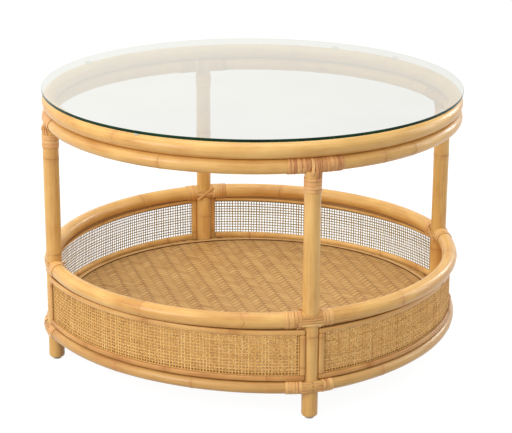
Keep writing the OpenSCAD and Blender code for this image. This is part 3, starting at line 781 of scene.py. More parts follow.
def wall_strip(mesh, k, half, section, knots, seed, tint, inner=False, z=0.0, bedded=0):
    """Strip along the wall, half long each way from the middle. section is (off wall, up).

    Outer strips have rounded ends and swell a little; inner ones keep their section.
    """
    side = -1 if inner else 1
    start = half * WALL.radius
    length = 2 * start
    knots = [x + start for x in knots]
    along = stations(length, knots, 6.5)
    if not inner:
        ends = TRIM_TAPER * np.array([0.25, 0.6, 1.0])
        along = np.unique(np.concatenate([along, ends, length - ends]))
    rng = np.random.default_rng(seed)
    height, ring, near = knot_marks(along, knots, ridge_w=2.4, groove=0.35, ring_w=1.1,
                                    near_w=16.0)
    off_wall, up = section[:, 0] + 0 * along[:, None], section[:, 1] + 0 * along[:, None]
    if not inner:
        for knot in knots:
            # a dark patch to one side of each knot
            middle = rng.choice([-1, 1]) * rng.uniform(4, 10)
            strength = rng.uniform(0.5, 0.85)
            patch = np.exp(-(((along - knot - middle) / rng.uniform(5, 9)) ** 4))
            ring = np.maximum(ring, strength * patch)
        into_end = np.clip(1 - np.minimum(along, length - along) / TRIM_TAPER, 0, 1)
        full = 0.35 + 0.65 * np.sqrt(1 - into_end * into_end)
        swell = 1 + 0.05 * wave(along / 45.0, seed, terms=3)
        off_wall = off_wall * (full * swell)[:, None] + (section[:, 0] > 0.1) * height[:, None]
        up = up * ((0.55 + 0.45 * full) * swell)[:, None]
    points = polar(WALL.radius + side * (TRIM_OFF + off_wall),
                   along[:, None] / WALL.radius - half, z + up, WALL.centre)
    edges = seam_edges(len(section))
    if bedded:
        # the last points of the section bed against the underside of the rim pole
        off_line = np.hypot(points[:, -bedded:, 0] - RIM.centre, points[:, -bedded:, 1])
        off_line = off_line - RIM.radius
        drop = np.sqrt(np.maximum((RIM_POLE + 0.12) ** 2 - off_line * off_line, 4.0))
        points[:, -bedded:, 2] = RIM_Z - drop
        # painted shade: a dark seam where the strip meets the underside of the rim pole
        edges[-bedded - 1:] = 1.0
        edges[-bedded - 2] = 0.70
    tint = tint + 0.22 * wave(along / 60.0, seed + 1, terms=3)
    mesh.grid(spin(points, QUARTER_ANGLE[k]), grain_at(rng, along[:, None], off_wall, up),
              knot=ring[:, None], near=near[:, None], tint=tint[:, None], edge=edges)


def wall_post(mesh, k, side, middle, low, high, width, thick, end_round, knot, seed, tint):
    """Upright strip on the wall, kept off the legs. side is 1 outside and -1 inside."""
    z = stations(high - low, [knot - low], 6.0) + low
    z = np.unique(np.concatenate([z, [
        low + 0.3, low + 1, low + end_round * 0.5, low + end_round,
        high - end_round, high - 0.4 * end_round]]))
    section = crown_section(width, thick)
    into_low = np.clip(1 - (z - low) / end_round, 0, 1)
    into_high = np.clip(1 - (high - z) / end_round, 0, 1)
    full = np.minimum(np.sqrt(1 - into_low * into_low * 0.92),
                      np.sqrt(1 - into_high * into_high * 0.85))
    height, ring, near = knot_marks(z, [knot], ridge_w=2.2, groove=0.3, ring_w=0.9, near_w=7.0)
    off_wall = section[:, 0] * full[:, None] + (section[:, 0] > 0.1) * height[:, None]
    across = section[:, 1] * (0.45 + 0.55 * full)[:, None]
    radius = WALL.radius + side * (TRIM_OFF + off_wall)
    arc = middle + across
    for _ in range(3):
        place = polar(radius, arc / WALL.radius, 0.0, WALL.centre)
        for sign in (-1, 1):
            distance = np.hypot(place[..., 0] - LEG_R * SIN45,
                                place[..., 1] - sign * LEG_R * SIN45)
            arc = arc - sign * np.maximum(0, LEG_POLE + LEG_CLEAR - distance) * 1.05
    points = polar(radius, arc / WALL.radius, z[:, None], WALL.centre)
    mesh.grid(spin(points, QUARTER_ANGLE[k]), grain_at(seed, z[:, None], off_wall, across),
              knot=ring[:, None], near=near[:, None], tint=tint, edge=seam_edges(len(section)))


def outer_trim(k, high_knots, low_knots, seed):
    mesh = PartMesh()
    half = (WALL_END - OUTER_END) / WALL.radius
    section = crown_section(TRIM_W, TRIM_T, count=10)
    # painted shade: the lower strip's tint is far darker than the upper one's, for the shade it lies in
    wall_strip(mesh, k, half, section, high_knots, seed, tint=0.8, z=WALL_HIGH - TRIM_W / 2)
    wall_strip(mesh, k, half, section, low_knots, seed + 1, tint=0.28, z=WALL_LOW + TRIM_W / 2)
    # the posts stand between the upper and the lower strip
    middle = WALL_END - OUTER_SIDE + OUTER_POST_W / 2 + 0.05
    for j, sign in enumerate((-1, 1)):
        wall_post(mesh, k, 1, sign * middle, low=WALL_LOW + TRIM_W - 0.3,
                  high=WALL_HIGH - TRIM_W + 0.3, width=OUTER_POST_W, thick=TRIM_T + 0.35,
                  end_round=1.6, knot=WALL_LOW + (74.0, 24.0)[j], seed=seed + 3 + j, tint=0.62)
    mesh.build("outer_trim_" + QUARTERS[k], "strips", TRIM_SKIN, sharp=55)


def inner_trim(k, high_knots, low_knots, seed):
    mesh = PartMesh()
    half = (WALL_END - INNER_SIDE) / WALL.radius
    # painted light: the upper strip, shaded by the rim pole over it, gets a light tint
    wall_strip(mesh, k, half, CORNER_SECTION, high_knots, seed, tint=0.85, inner=True,
               bedded=BEDDED)
    wall_strip(mesh, k, half, FOOT_SECTION, low_knots, seed + 1, tint=0.55, inner=True)
    middle = WALL_END - INNER_SIDE + INNER_POST_W / 2 + 0.05
    for j, sign in enumerate((-1, 1)):
        wall_post(mesh, k, -1, sign * middle, low=INNER_LOW, high=WALL_HIGH + 0.2,
                  width=INNER_POST_W, thick=TRIM_T + 0.5, end_round=1.5,
                  knot=WALL_LOW + (20.0, 44.0)[(k + j) % 2], seed=seed + 3 + j, tint=0.5)
    mesh.build("inner_trim_" + QUARTERS[k], "strips", INNER_SKIN, sharp=55)


# knots of the upper and the lower strip, by quarter
OUTER_KNOTS = [
    ([60], [arc_at(-70.9, 0), 120]),
    ([-90, 140], [20]),
    ([35], [-120, 110]),
    ([arc_at(-135.9, 3), 150], [arc_at(-155.9, 3), arc_at(-128, 3), arc_at(-102.1, 3)])]
INNER_KNOTS = [
    ([100], [-60]),
    ([-140, 70], [arc_at(29, 1), arc_at(13, 1), 190]),
    ([-30], [-205, 60]),
    ([20], [-90, 130])]
for k in range(4):
    outer_trim(k, *OUTER_KNOTS[k], seed=61 + k)
for k in range(4):
    inner_trim(k, *INNER_KNOTS[k], seed=71 + k)


# ------------------------------------------------------------------ wound peel
def peel_section():
    """Unit section (across -0.5 to 0.5, height 0 to 1) of a flat, slightly crowned peel."""
    across = np.linspace(-0.5, 0.5, 7)
    height = 0.72 + 0.28 * np.cos(across * PI) ** 0.8
    height[0] = height[-1] = 0.52
    return np.concatenate([across, [0.46, -0.46]]), np.concatenate([height, [0.0, 0.0]])


PEEL_X, PEEL_Y = peel_section()
UP = np.array([0.0, 0.0, 1.0])
TURN_W = 5.9          # mean width of one turn of peel


# Each along_... function returns one that gives, at a distance along a pole, the centre
# of the pole and two directions square to it.
def along_hoop(leg_angle):
    def place(along):
        angle = along / LOWER_R + leg_angle
        return polar(LOWER_R, angle, LOWER_Z), polar(1.0, angle, 0.0), UP
    return place


def along_rail(bow, z, leg_angle, side):
    """Distances run from the leg end; side 1 is the rail anticlockwise of the leg."""
    def place(along):
        angle = side * (-bow.half + along / bow.radius)
        turn = side * PI / 4 + leg_angle
        centre = polar(bow.radius, angle, z, bow.centre)
        return spin(centre, turn), spin(polar(1.0, angle, 0.0), turn), UP
    return place


def along_leg(leg_angle):
    def place(along):
        outward, sideways = np.array([1.0, 0.0, 0.0]), np.array([0.0, 1.0, 0.0])
        return (spin(xyz(LEG_R, 0.0, along), leg_angle), spin(outward, leg_angle),
                spin(sideways, leg_angle))
    return place


def winding(mesh, place, start, end, pole_r, seed, hand=1, limit=None, tint=0.5):
    """Turns of peel side by side round a pole. limit(angle) caps their distance from its axis."""
    rng = np.random.default_rng(seed)
    turns = max(2, int(round((end - start) / TURN_W)))
    widths = rng.uniform(0.62, 1.5, turns)
    edges = np.concatenate([[0], np.cumsum(widths / widths.sum() * (end - start))])
    angle = np.linspace(0, 2 * PI, 44, endpoint=False)
    cos, sin = np.cos(angle)[:, None, None], np.sin(angle)[:, None, None]
    for i in range(turns):
        # each turn is its own loop with a slight lean, butted against the next
        middle = start + (edges[i] + edges[i + 1]) / 2
        width = (edges[i + 1] - edges[i]) * rng.uniform(0.965, 1.0)
        lean = hand * rng.uniform(0.10, 0.45) * (1 if rng.random() > 0.15 else -0.6)
        if i in (0, turns - 1):
            lean *= 0.35
        line = (middle + lean * np.cos(angle + rng.uniform(-0.4, 0.4))
                + 0.10 * wave(angle, seed * 31 + i, terms=2))
        thick = (PEEL - GAP) * (0.90 + 0.12 * rng.random()
                                + 0.05 * wave(angle * 2, seed * 17 + i, terms=2))
        along = line[:, None] + width * PEEL_X
        radius = pole_r + GAP + thick[:, None] * PEEL_Y
        if limit is not None:
            cap = limit(angle)[:, None] - 0.03 - 0.04 * (1 - PEEL_Y)
            radius = np.minimum(radius, np.maximum(cap, pole_r + 0.015 + 0.03 * PEEL_Y))
        centre, outward, upward = place(along)
        points = centre + radius[..., None] * (cos * outward + sin * upward)
        mesh.grid(points, grain_at(rng, angle[:, None] * pole_r, along - middle, 0.0), ring=True,
                  tint=np.clip(tint + 0.15 * rng.normal(), 0, 1), edge=PEEL_X * 2)


def lay_peel(mesh, path, normal, across, width, thick, sink, tuck, seed, tint, lift=0.0):
    """Peel laid along a path, its ends sinking over the tuck length.

    width and thick are one value each or one per path point.
    """
    along = run_length(path)
    into_end = np.clip(1 - np.minimum(along, along[-1] - along) / tuck, 0, 1)
    count = (len(path), 1)
    thick = np.broadcast_to(np.reshape(thick, (-1, 1)), count)
    side = np.broadcast_to(np.reshape(width, (-1, 1)), count) * PEEL_X
    height = lift - (sink * into_end * into_end)[:, None] + thick * PEEL_Y
    points = path[:, None] + height[..., None] * normal[:, None] + side[..., None] * across[:, None]
    mesh.grid(points, grain_at(seed, along[:, None], side, 0.0), tint=tint, edge=PEEL_X * 2)


def hull(points):
    """Convex hull, counter-clockwise."""
    points = sorted(set((round(float(x), 5), round(float(y), 5)) for x, y in points))

    def half_hull(sequence):
        out = []
        for x, y in sequence:
            while len(out) >= 2:
                (x0, y0), (x1, y1) = out[-2:]
                if (x1 - x0) * (y - y0) - (y1 - y0) * (x - x0) > 0:
                    break
                out.pop()
            out.append((x, y))
        return out

    return np.array(half_hull(points)[:-1] + half_hull(points[::-1])[:-1])


def resample(path, step):
    along = run_length(path)
    places = np.linspace(0, along[-1], max(4, int(along[-1] / step)) + 1)
    return np.stack([np.interp(places, along, path[:, i]) for i in range(path.shape[1])], -1)


def left_normals(path):
    """Smoothed left-hand normals of a 2D path."""
    tangent = unit(np.gradient(path, axis=0))
    for _ in range(2):
        tangent[1:-1] = (tangent[:-2] + 2 * tangent[1:-1] + tangent[2:]) / 4
    tangent = unit(tangent)
    return np.stack([-tangent[:, 1], tangent[:, 0]], -1)


def upper_limit(angle):
    """Distance from the lower hoop's axis to the upper hoop's skin, at an angle round it."""
    dx, dz = UPPER_R - LOWER_R, UPPER_Z - LOWER_Z
    middle = dx * np.cos(angle) + dz * np.sin(angle)
    inside = middle * middle - (dx * dx + dz * dz - UPPER_POLE ** 2)
    hit = (inside > 0) & (middle > 0)
    return np.where(hit, middle - np.sqrt(np.maximum(inside, 0)), 99.0)


# ------------------------------------------------------------------ top bindings
# straps over the hoop and down both faces of the leg: side offset, width, tint;
# the last one leans on the outer face
STRAPS = [(3.4, 4.6, 0.26), (7.9, 4.2, 0.12), (11.6, 3.2, 0.3), (-2.1, 5.6, 0.66)]
LEG_SKIN = LEG_POLE + GAP


def strap_line(offset, foot_z):
    """Strap outline in the leg's (x, z) plane, from its outer foot over the hoop to the inner."""
    circle = [(LOWER_R + (LOWER_POLE + GAP) * math.cos(t), LOWER_Z + (LOWER_POLE + GAP) * math.sin(t))
              for t in np.linspace(0, 2 * PI, 180)]
    half = math.sqrt(max(LEG_SKIN * LEG_SKIN - offset * offset, 4.0))
    body = [(LEG_R - half, foot_z), (LEG_R + half, foot_z),
            (LEG_R + half, LEG_TOP - 1.2), (LEG_R - half, LEG_TOP - 4.0)]
    line = hull(circle + body)
    start = np.argmin(np.abs(line[:, 0] - (LEG_R + half)) + np.abs(line[:, 1] - foot_z))
    return resample(np.roll(line, -int(start), axis=0), 1.6)


def lean_strap(path, normal):
    """Let the strap run out to the leg's side below the hoop, on the outer face."""
    low = np.clip((LOWER_Z + 2 - path[:, 2]) / 17.0, 0, 1) * (path[:, 0] > LEG_R)
    path[:, 1] -= 4.5 * low ** 1.3
    side = np.clip(np.abs(path[:, 1]), 0, LEG_SKIN - 0.4)
    outer = (path[:, 0] > LEG_R) & (path[:, 2] < LEG_TOP - 6)
    skin_x = LEG_R + np.sqrt(LEG_SKIN * LEG_SKIN - side * side)
    path[:, 0] = np.where(outer, np.minimum(path[:, 0], skin_x), path[:, 0])
    on_leg = xyz(skin_x - LEG_R, path[:, 1], 0.0) / LEG_SKIN
    normal = np.where(outer[:, None], on_leg, normal)
    return normal, unit(np.cross(normal, unit(np.gradient(path, axis=0))))


def tip_strap(path, normal, offset):
    """Tip the strap with the round of the leg it lies on."""
    on_leg = np.clip((LEG_TOP - 2 - path[:, 2]) / 6.0, 0, 1)
    tip = math.asin(min(0.95, offset / LEG_SKIN)) * on_leg * 0.8
    sign = np.where(path[:, 0] > LEG_R, 1.0, -1.0)
    normal = unit(xyz(normal[:, 0] * np.cos(tip), np.sin(tip), normal[:, 2]))
    return normal, xyz(-sign * np.sin(tip), np.cos(tip), 0.0)


def top_binding(k):
    mesh = PartMesh()
    angle = LEG_ANGLE[k]
    seed = 300 + 20 * k
    is_left = k == 3
    light = 0.3 if is_left else 0.0
    hoop_line = along_hoop(angle)
    winding(mesh, hoop_line, -43.0, -5.2, LOWER_POLE, seed + 1, limit=upper_limit,
            tint=0.42 + light)
    winding(mesh, hoop_line, 13.4, 25.0 if is_left else 49.0, LOWER_POLE, seed + 2, hand=-1,
            limit=upper_limit, tint=0.4 + light)
    winding(mesh, along_leg(angle), LOWER_Z - 43.5, LOWER_Z - 19.5, LEG_POLE, seed + 3, tint=0.74)
    for i, (offset, width, tint) in enumerate(STRAPS):
        leans = offset < 0
        line = strap_line(offset, LOWER_Z - (15.5 if leans else 22.0))
        flat_normal = -left_normals(line)
        path = xyz(line[:, 0], offset, line[:, 1]).copy()
        normal = xyz(flat_normal[:, 0], 0.0, flat_normal[:, 1])
        if leans:
            normal, across = lean_strap(path, normal)
        else:
            normal, across = tip_strap(path, normal, offset)
            tint += light
        # pressed flat between the two hoops
        room = np.hypot(line[:, 0] - UPPER_R, line[:, 1] - UPPER_Z) - UPPER_POLE - 0.08
        thick = (PEEL - 0.1) * np.clip(room / 1.2, 0.03, 1.0)
        lay_peel(mesh, spin(path, angle), spin(normal, angle), spin(across, angle), width, thick,
                 sink=0.9, tuck=3.0, seed=seed + i, tint=tint)
    mesh.build("top_binding_" + LEGS[k], "wound", TOP_PEEL_SKIN, sharp=50)


# ------------------------------------------------------------------ rim and base bindings
# bands across the leg: height above the rail axis, width
RIM_BANDS = [(-6.6, 5.2), (-1.6, 4.6), (2.7, 3.8), (7.0, 4.6)]
BASE_BANDS = [(-5.3, 4.9), (0.0, 5.4), (5.3, 4.8)]


def band_line(bow, z, pole_r, height, inside):
    """Plan line across one face of the leg, from one rail to the other; x is from the leg."""
    half = math.sqrt(max(pole_r * pole_r - height * height, 1.0)) + GAP
    points = [(LEG_SKIN * math.cos(t), LEG_SKIN * math.sin(t))
              for t in np.linspace(0, 2 * PI, 120, endpoint=False)]
    for side in (-1, 1):
        centres, outwards, _ = along_rail(bow, z, 0.0, side)(np.array([14.0, 18.6]))
        for centre, outward in zip(centres, outwards):
            for sign in (-1, 1):
                point = centre + sign * outward * half
                points.append((point[0] - LEG_R, point[1]))
    outline = hull(points)
    outline = outline[outline[:, 0] < 0.5 if inside else outline[:, 0] > -0.5]
    outline = outline[np.argsort(outline[:, 1])]
    # drop the end caps of the hull, keep the face
    face = []
    for x, y in outline:
        if face and abs(y - face[-1][1]) < 1e-4:
            if abs(x) > abs(face[-1][0]):
                face[-1] = (x, y)
        else:
            face.append((x, y))
    return resample(np.array(face), 1.2)


def rail_binding(kind, k, bow, z, pole_r, bands, slope, seed):
    """Windings on both rails, bands on both faces of the leg and a sloping one inside."""
    mesh = PartMesh()
    angle = LEG_ANGLE[k]
    winding(mesh, along_rail(bow, z, angle, -1), 16.5, 44.5, pole_r, seed + 1)
    winding(mesh, along_rail(bow, z, angle, 1), 16.5, 36.5, pole_r, seed + 2, hand=-1)
    rng = np.random.default_rng(seed + 9)

    def band(face, inside, heights, width, thick, slopes=False, **options):
        flat_normal = left_normals(face) * (1 if inside else -1)
        path = xyz(face[:, 0] + LEG_R, face[:, 1], z + heights)
        normal = xyz(flat_normal[:, 0], flat_normal[:, 1], 0.0)
        across = np.broadcast_to(UP, path.shape)
        if slopes:
            across = unit(np.cross(unit(np.gradient(path, axis=0)), normal))
        width = width * (1 + 0.04 * wave(run_length(path) / 9.0, options["seed"], terms=2))
        lay_peel(mesh, spin(path, angle), spin(normal, angle), spin(across, angle), width, thick,
                 sink=thick * 0.95, **options)

    for inside in (False, True):
        for i, (height, width) in enumerate(bands[:-1] if inside else bands):
            face = band_line(bow, z, pole_r, height, inside)
            tilt = rng.uniform(-0.035, 0.035)
            tint = np.clip(0.45 + 0.2 * rng.normal(), 0, 1)
            band(face, inside, height + tilt * face[:, 1], width, PEEL - 0.08, tuck=2.6,
                 seed=seed + 40 + i + 10 * inside, tint=tint)
    face = band_line(bow, z, pole_r, 0.0, inside=True)
    band(face, True, np.clip(face[:, 1] * slope, -10.5, 10.5), 5.6, PEEL, slopes=True,
         tuck=4.0, seed=seed + 70, tint=0.55, lift=PEEL - 0.15)
    mesh.build(f"{kind}_binding_{LEGS[k]}", "wound", PEEL_SKIN, sharp=50)


for k in range(4):
    top_binding(k)
    rail_binding("rim", k, RIM, RIM_Z, RIM_POLE, RIM_BANDS,
                 slope=-0.72 if k % 2 == 0 else 0.62, seed=500 + 20 * k)
    rail_binding("base", k, BASE, BASE_Z, BASE_POLE, BASE_BANDS, slope=0.5, seed=700 + 20 * k)


# ------------------------------------------------------------------ shelf mat: 3/3 twill on the bias
STRIP_PITCH = 9.0
MAT_INSET = 5.5       # from the wall line to the mat's edge
STRIP_T = 0.5
TWILL_LIFT = 0.27     # height of an over or under run from the mat's middle
FLOAT_BOW = 0.07      # extra bow in the middle of a run
BEVEL = 0.12          # strip edges lean in by this much
# a change from under to over: place (of the pitch), height (of the lift)
CHANGE = ((-0.42, -1), (-0.16, -0.6), (0.16, 0.6), (0.42, 1))
# unit directions (along, across) of the two families of strips
FAMILIES = (((SIN45, SIN45), (-SIN45, SIN45)), ((-SIN45, SIN45), (SIN45, SIN45)))


def strip_reach(offset, family):
    """How far a line at this offset runs before it meets the mat's edge or a leg."""
    along, across = FAMILIES[family]

    def meet(angle, distance, radius):
        """Middle of the line's chord in a circle and its squared half chord."""
        x = offset * across[0] - distance * math.cos(angle)
        y = offset * across[1] - distance * math.sin(angle)
        dot = x * along[0] + y * along[1]
        return -dot, dot * dot - (x * x + y * y - radius * radius)

    best = 1e9
    for angle in QUARTER_ANGLE:
        middle, square = meet(angle, WALL.centre, WALL.radius - MAT_INSET)
        best = min(best, middle + math.sqrt(square)) if square > 0 else 0.0
    for angle in LEG_ANGLE:
        middle, square = meet(angle, LEG_R, LEG_POLE + 1.0)
        if square > 0 and middle - math.sqrt(square) > 0:
            best = min(best, middle - math.sqrt(square))
    return best


def twill_stations(i, family, reach):
    """Place, height and painted dive shade at each change of strip i, and its ends at the reach."""
    def over(j):
        return ((j - i) % 6) < 3 if family == 0 else ((i - j) % 6) >= 3

    rows = []
    count = int(reach / STRIP_PITCH) + 1
    for j in range(-count - 1, count + 1):
        here, after = over(j), over(j + 1)
        if here != after:
            sign = 1 if after else -1
            # painted shade by the light's direction: family 0 darkens most where it dives under, family
            # 1 hardly at all
            dive = (0.80 if sign < 0 else 0.34) if family == 0 else 0.10
            for shift, part in CHANGE:
                level = part * sign
                dark = 0.0 if level > 0.9 else (dive if level > 0 else 1.0)
                rows.append(((j + 0.5) * STRIP_PITCH + shift * STRIP_PITCH,
                             TWILL_LIFT * level, dark))
        elif over(j - 1) == here:
            rows.append((j * STRIP_PITCH, (TWILL_LIFT + FLOAT_BOW) * (1 if here else -1),
                         0.0 if here else 1.0))
    place, height, dark = np.array(sorted(rows)).T
    end_heights = np.interp([-reach, reach], place, height)
    inside = np.abs(place) < reach
    height = np.concatenate([end_heights[:1], height[inside], end_heights[1:]])
    return place[inside], height, repeat_ends(dark[inside], 1, 1)


def shelf_mat():
    mesh = PartMesh()
    mat_r = WALL_MID - MAT_INSET
    rng = np.random.default_rng(81)
    count = int(mat_r / STRIP_PITCH) + 1
    for family, mean_width in enumerate((8.35, 8.75)):
        (along_x, along_y), (across_x, across_y) = FAMILIES[family]
        for i in range(-count, count + 1):
            middle = i * STRIP_PITCH + rng.normal(0, 0.10)
            width = mean_width * (1 + 0.018 * rng.normal())
            left, right = middle - width / 2, middle + width / 2
            if max(abs(left), abs(right)) > mat_r - 3:
                continue
            left_reach, right_reach = strip_reach(left, family), strip_reach(right, family)
            reach = min(left_reach, right_reach) - 0.6
            if reach < 12:
                continue
            place, height, dark = twill_stations(i, family, reach)
            left_run = np.concatenate([[-left_reach], place, [left_reach]])
            right_run = np.concatenate([[-right_reach], place, [right_reach]])
            run = np.stack([left_run, left_run, right_run, right_run], 1)
            across = np.array([left, left + BEVEL, right - BEVEL, right])
            side = across + 0.12 * wave(run / 60.0, 900 + i + 200 * family, terms=2)
            z = MAT_Z + height[:, None] + STRIP_T / 2 * np.array([-1, 1, 1, -1])
            points = xyz(run * along_x + side * across_x, run * along_y + side * across_y, z)
            mesh.grid(points, grain_at(rng, run, across - middle, 0.0),
                      tint=np.clip(0.5 + 0.09 * rng.normal(), 0, 1),
                      edge=np.array([-1, -1, 1, 1]), near=dark[:, None])
    mesh.build("shelf_mat", "twill", MAT, smooth=False)


shelf_mat()


# ------------------------------------------------------------------ shelf edge band
BAND_HALF = BAND_W / 2
# band section: outward from its middle, height (of BAND_H)
BAND_SECTION = np.array([
    (BAND_HALF - 0.10, 0.02 / BAND_H), (BAND_HALF, 0.5), (BAND_HALF - 0.3, 0.88),
    (BAND_HALF - 1.4, 1.0), (0.8, 1.0), (-BAND_HALF + 2.2, 0.98), (-BAND_HALF + 0.9, 0.90),
    (-BAND_HALF + 0.25, 0.66), (-BAND_HALF, 0.36), (-BAND_HALF + 0.15, 0.02 / BAND_H)])
# painted shade: dark lines along both edges of the band, where it meets the wall's foot and the mat
BAND_EDGES = np.array([0.95, 0.95, 0, 0, 0, 0, 0.84, 1.0, 1.0, 1.0])
BAND_KNOTS = (31, 75, 102, 150, 12, -20, -60, -100, -150)     # bearings in degrees


def edge_band():
    """Flat peel band lying on the mat's rim, with a soft crown and an uneven inner edge."""
    middle_r = BAND_R - BAND_HALF
    angle = np.linspace(0, 2 * PI, 720, endpoint=False)
    knot = np.zeros(len(angle))
    for degrees in BAND_KNOTS:
        offset = ((angle - math.radians(degrees) + PI) % (2 * PI) - PI) * middle_r
        knot = np.maximum(knot, bell(offset, 1.8))
    cut = 0.42 * wave(angle * 9, 7, terms=4) + 0.22 * wave(angle * 31, 8, terms=3)
    inner_half = BAND_SECTION[:, 0] < 0
    radius = middle_r + BAND_SECTION[:, 0] + inner_half * (np.abs(cut) - 0.25 * knot)[:, None]
    z = BAND_Z + BAND_SECTION[:, 1] * BAND_H
    angle = angle[:, None]
    mesh = PartMesh()
    mesh.grid(polar(radius, angle, z), xyz(angle * middle_r, radius, z), ring=True,
              knot=knot[:, None], near=0.6 * knot[:, None],
              tint=0.5 + 0.3 * wave(angle * 4, 8, terms=3), edge=BAND_EDGES)
    mesh.build("shelf_edge_band", "peel", BAND_SKIN, sharp=50)


edge_band()


# ------------------------------------------------------------------ glass
def pane_material():
    """Upper face: mirror-like at low angles, slightly grey looking through."""
    sh = new_material("clear_glass_pane")
    mirror = sh.math("POWER", sh.facing(), 1.52)
    mirror = sh.scaled(mirror, gain=0.93, plus=0.045, clamp=True)
    dust = sh.noise(sh.object_coords(), scale=(9, 9, 9))
    tint = sh.mix(sh.remap(dust, span=(0.3, 0.7), to=(0.0, 1.0)),
                  (0.69, 0.685, 0.71, 1), (0.73, 0.725, 0.75, 1))
    clear = sh.node("BsdfTransparent", {"Color": tint})
    rough = sh.remap(dust, span=(0.3, 0.7), to=(0.012, 0.03))
    gloss = sh.node("BsdfGlossy", {"Color": (0.96, 0.965, 0.895, 1), "Roughness": rough})
    seen = sh.mix_shader(mirror, clear.outputs[0], gloss.outputs[0])
    # light on its way to the pieces below passes almost whole
    rays = sh.node("LightPath").outputs
    passing = sh.node("BsdfTransparent", {"Color": (0.93, 0.95, 0.93, 1)})
    lighting = sh.math("MAXIMUM", rays["Is Shadow Ray"], rays["Is Diffuse Ray"])
    return sh.surface(sh.mix_shader(lighting, seen, passing.outputs[0]))


def underside_material():
    """Lower face: almost clear, mirroring only on its outer side."""
    sh = new_material("clear_glass_underside")
    dust = sh.noise(sh.object_coords(), scale=(7, 7, 7))
    tint = sh.mix(sh.remap(dust, span=(0.3, 0.7), to=(0.0, 1.0)),
                  (0.97, 0.985, 0.975, 1), (0.99, 1.0, 0.99, 1))
    clear = sh.node("BsdfTransparent", {"Color": tint})
    gloss = sh.node("BsdfGlossy", {"Roughness": 0.02})
    behind = sh.node("NewGeometry").outputs["Backfacing"]
    mirror = sh.math("MULTIPLY", sh.math("POWER", sh.facing(), 2.2),
                     sh.math("SUBTRACT", 1.0, behind))
    return sh.surface(sh.mix_shader(mirror, clear.outputs[0], gloss.outputs[0]))


def glass_edge_material():
    """Polished edge: deep green from outside, clear from within."""
    sh = new_material("glass_ground_edge")
    coords = sh.object_coords()
    streak = sh.noise(coords, scale=(6, 6, 900), rough=0.6)
    fine = sh.noise(coords, scale=(60, 60, 60), detail=2.0)
    colour = sh.ramp(sh.blend(streak, 0.7, fine, 0.3), (0.3, 0.5, 0.7),
                     [(3, 22, 9), (9, 44, 22), (26, 72, 40)])
    green = sh.node("BsdfPrincipled", {
        "Base Color": colour, "Roughness": 0.12, "IOR": 1.5, "Specular IOR Level": 0.12})
    clear = sh.node("BsdfTransparent", {"Color": (0.93, 0.97, 0.95, 1)})
    behind = sh.node("NewGeometry").outputs["Backfacing"]
    return sh.surface(sh.mix_shader(behind, green.outputs[0], clear.outputs[0]))


def glass():
    count = 256
    thick = GLASS_Z1 - GLASS_Z0
    bevel = 0.5
    straight = GLASS_R - bevel
    turns = [q * PI / 2 for q in np.linspace(0.15, 0.85, 3)]
    # edge section (radius, height) from the under face to the upper face
    section = [(straight, 0.0)]
    section += [(straight + bevel * math.sin(t), bevel - bevel * math.cos(t)) for t in turns]
    section += [(GLASS_R, bevel), (GLASS_R, thick / 2), (GLASS_R, thick - bevel)]
    section += [(straight + bevel * math.cos(t), thick - bevel + bevel * math.sin(t))
                for t in turns]
    section += [(straight, thick)]
    # then a ring at half the radius and a centre point on each face
    rings = section + [(GLASS_R * 0.5, 0.0), (GLASS_R * 0.5, thick)]
    angle = np.linspace(0, 2 * PI, count, endpoint=False)
    points = [polar(radius, angle, GLASS_Z0 + height) for radius, height in rings]
    points = np.vstack(points + [[[0, 0, GLASS_Z0], [0, 0, GLASS_Z1]]])
    index = np.arange(len(rings) * count).reshape(len(rings), count)
    beside = np.roll(index, -1, 1)
    low_centre = np.full(count, len(rings) * count)
    last = len(section) - 1
    low_ring, high_ring = last + 1, last + 2
    PANE, UNDERSIDE, EDGE = 0, 1, 2
    bands = [([index[i], beside[i], beside[i + 1], index[i + 1]], EDGE) for i in range(last)]
    bands += [
        ([index[last], beside[last], beside[high_ring], index[high_ring]], PANE),
        ([beside[0], index[0], index[low_ring], beside[low_ring]], UNDERSIDE),
        ([index[high_ring], beside[high_ring], low_centre + 1], PANE),
        ([beside[low_ring], index[low_ring], low_centre], UNDERSIDE)]
    faces, slots = [], []
    for corners, slot in bands:
        faces += np.stack(corners, -1).tolist()
        slots += [slot] * count
    mesh = bpy.data.meshes.new("glass_disc")
    mesh.from_pydata((points * MM).tolist(), [], faces)
    mesh.polygons.foreach_set("material_index", np.array(slots, np.int32))
    mesh.polygons.foreach_set("use_smooth", np.full(len(faces), True))
    mesh.update()
    mesh.set_sharp_from_angle(angle=math.radians(30))
    for material in (pane_material(), underside_material(), glass_edge_material()):
        mesh.materials.append(material)
    add_part("glass_disc", mesh, "glass", "glass_top")


glass()


# ------------------------------------------------------------------ finishes of the CAD nodes that stay
def speckled(name, fine_scale, cloud_scale, colours, rough, bump, more):
    """Even material with a faint cloud in its colour and fine specks in its roughness."""
    sh = new_material(name)
    coords = sh.object_coords()
    fine = sh.noise(coords, scale=(fine_scale,) * 3, detail=4.0, rough=0.6)
    cloud = sh.noise(coords, scale=(cloud_scale,) * 3, shift=(5, 5, 5))
    colour = sh.ramp(cloud, (0.3, 0.7), colours)
    return sh.principled(colour, sh.remap(fine, span=(0.3, 0.7), to=rough),
                         sh.bump(fine, **bump), more)


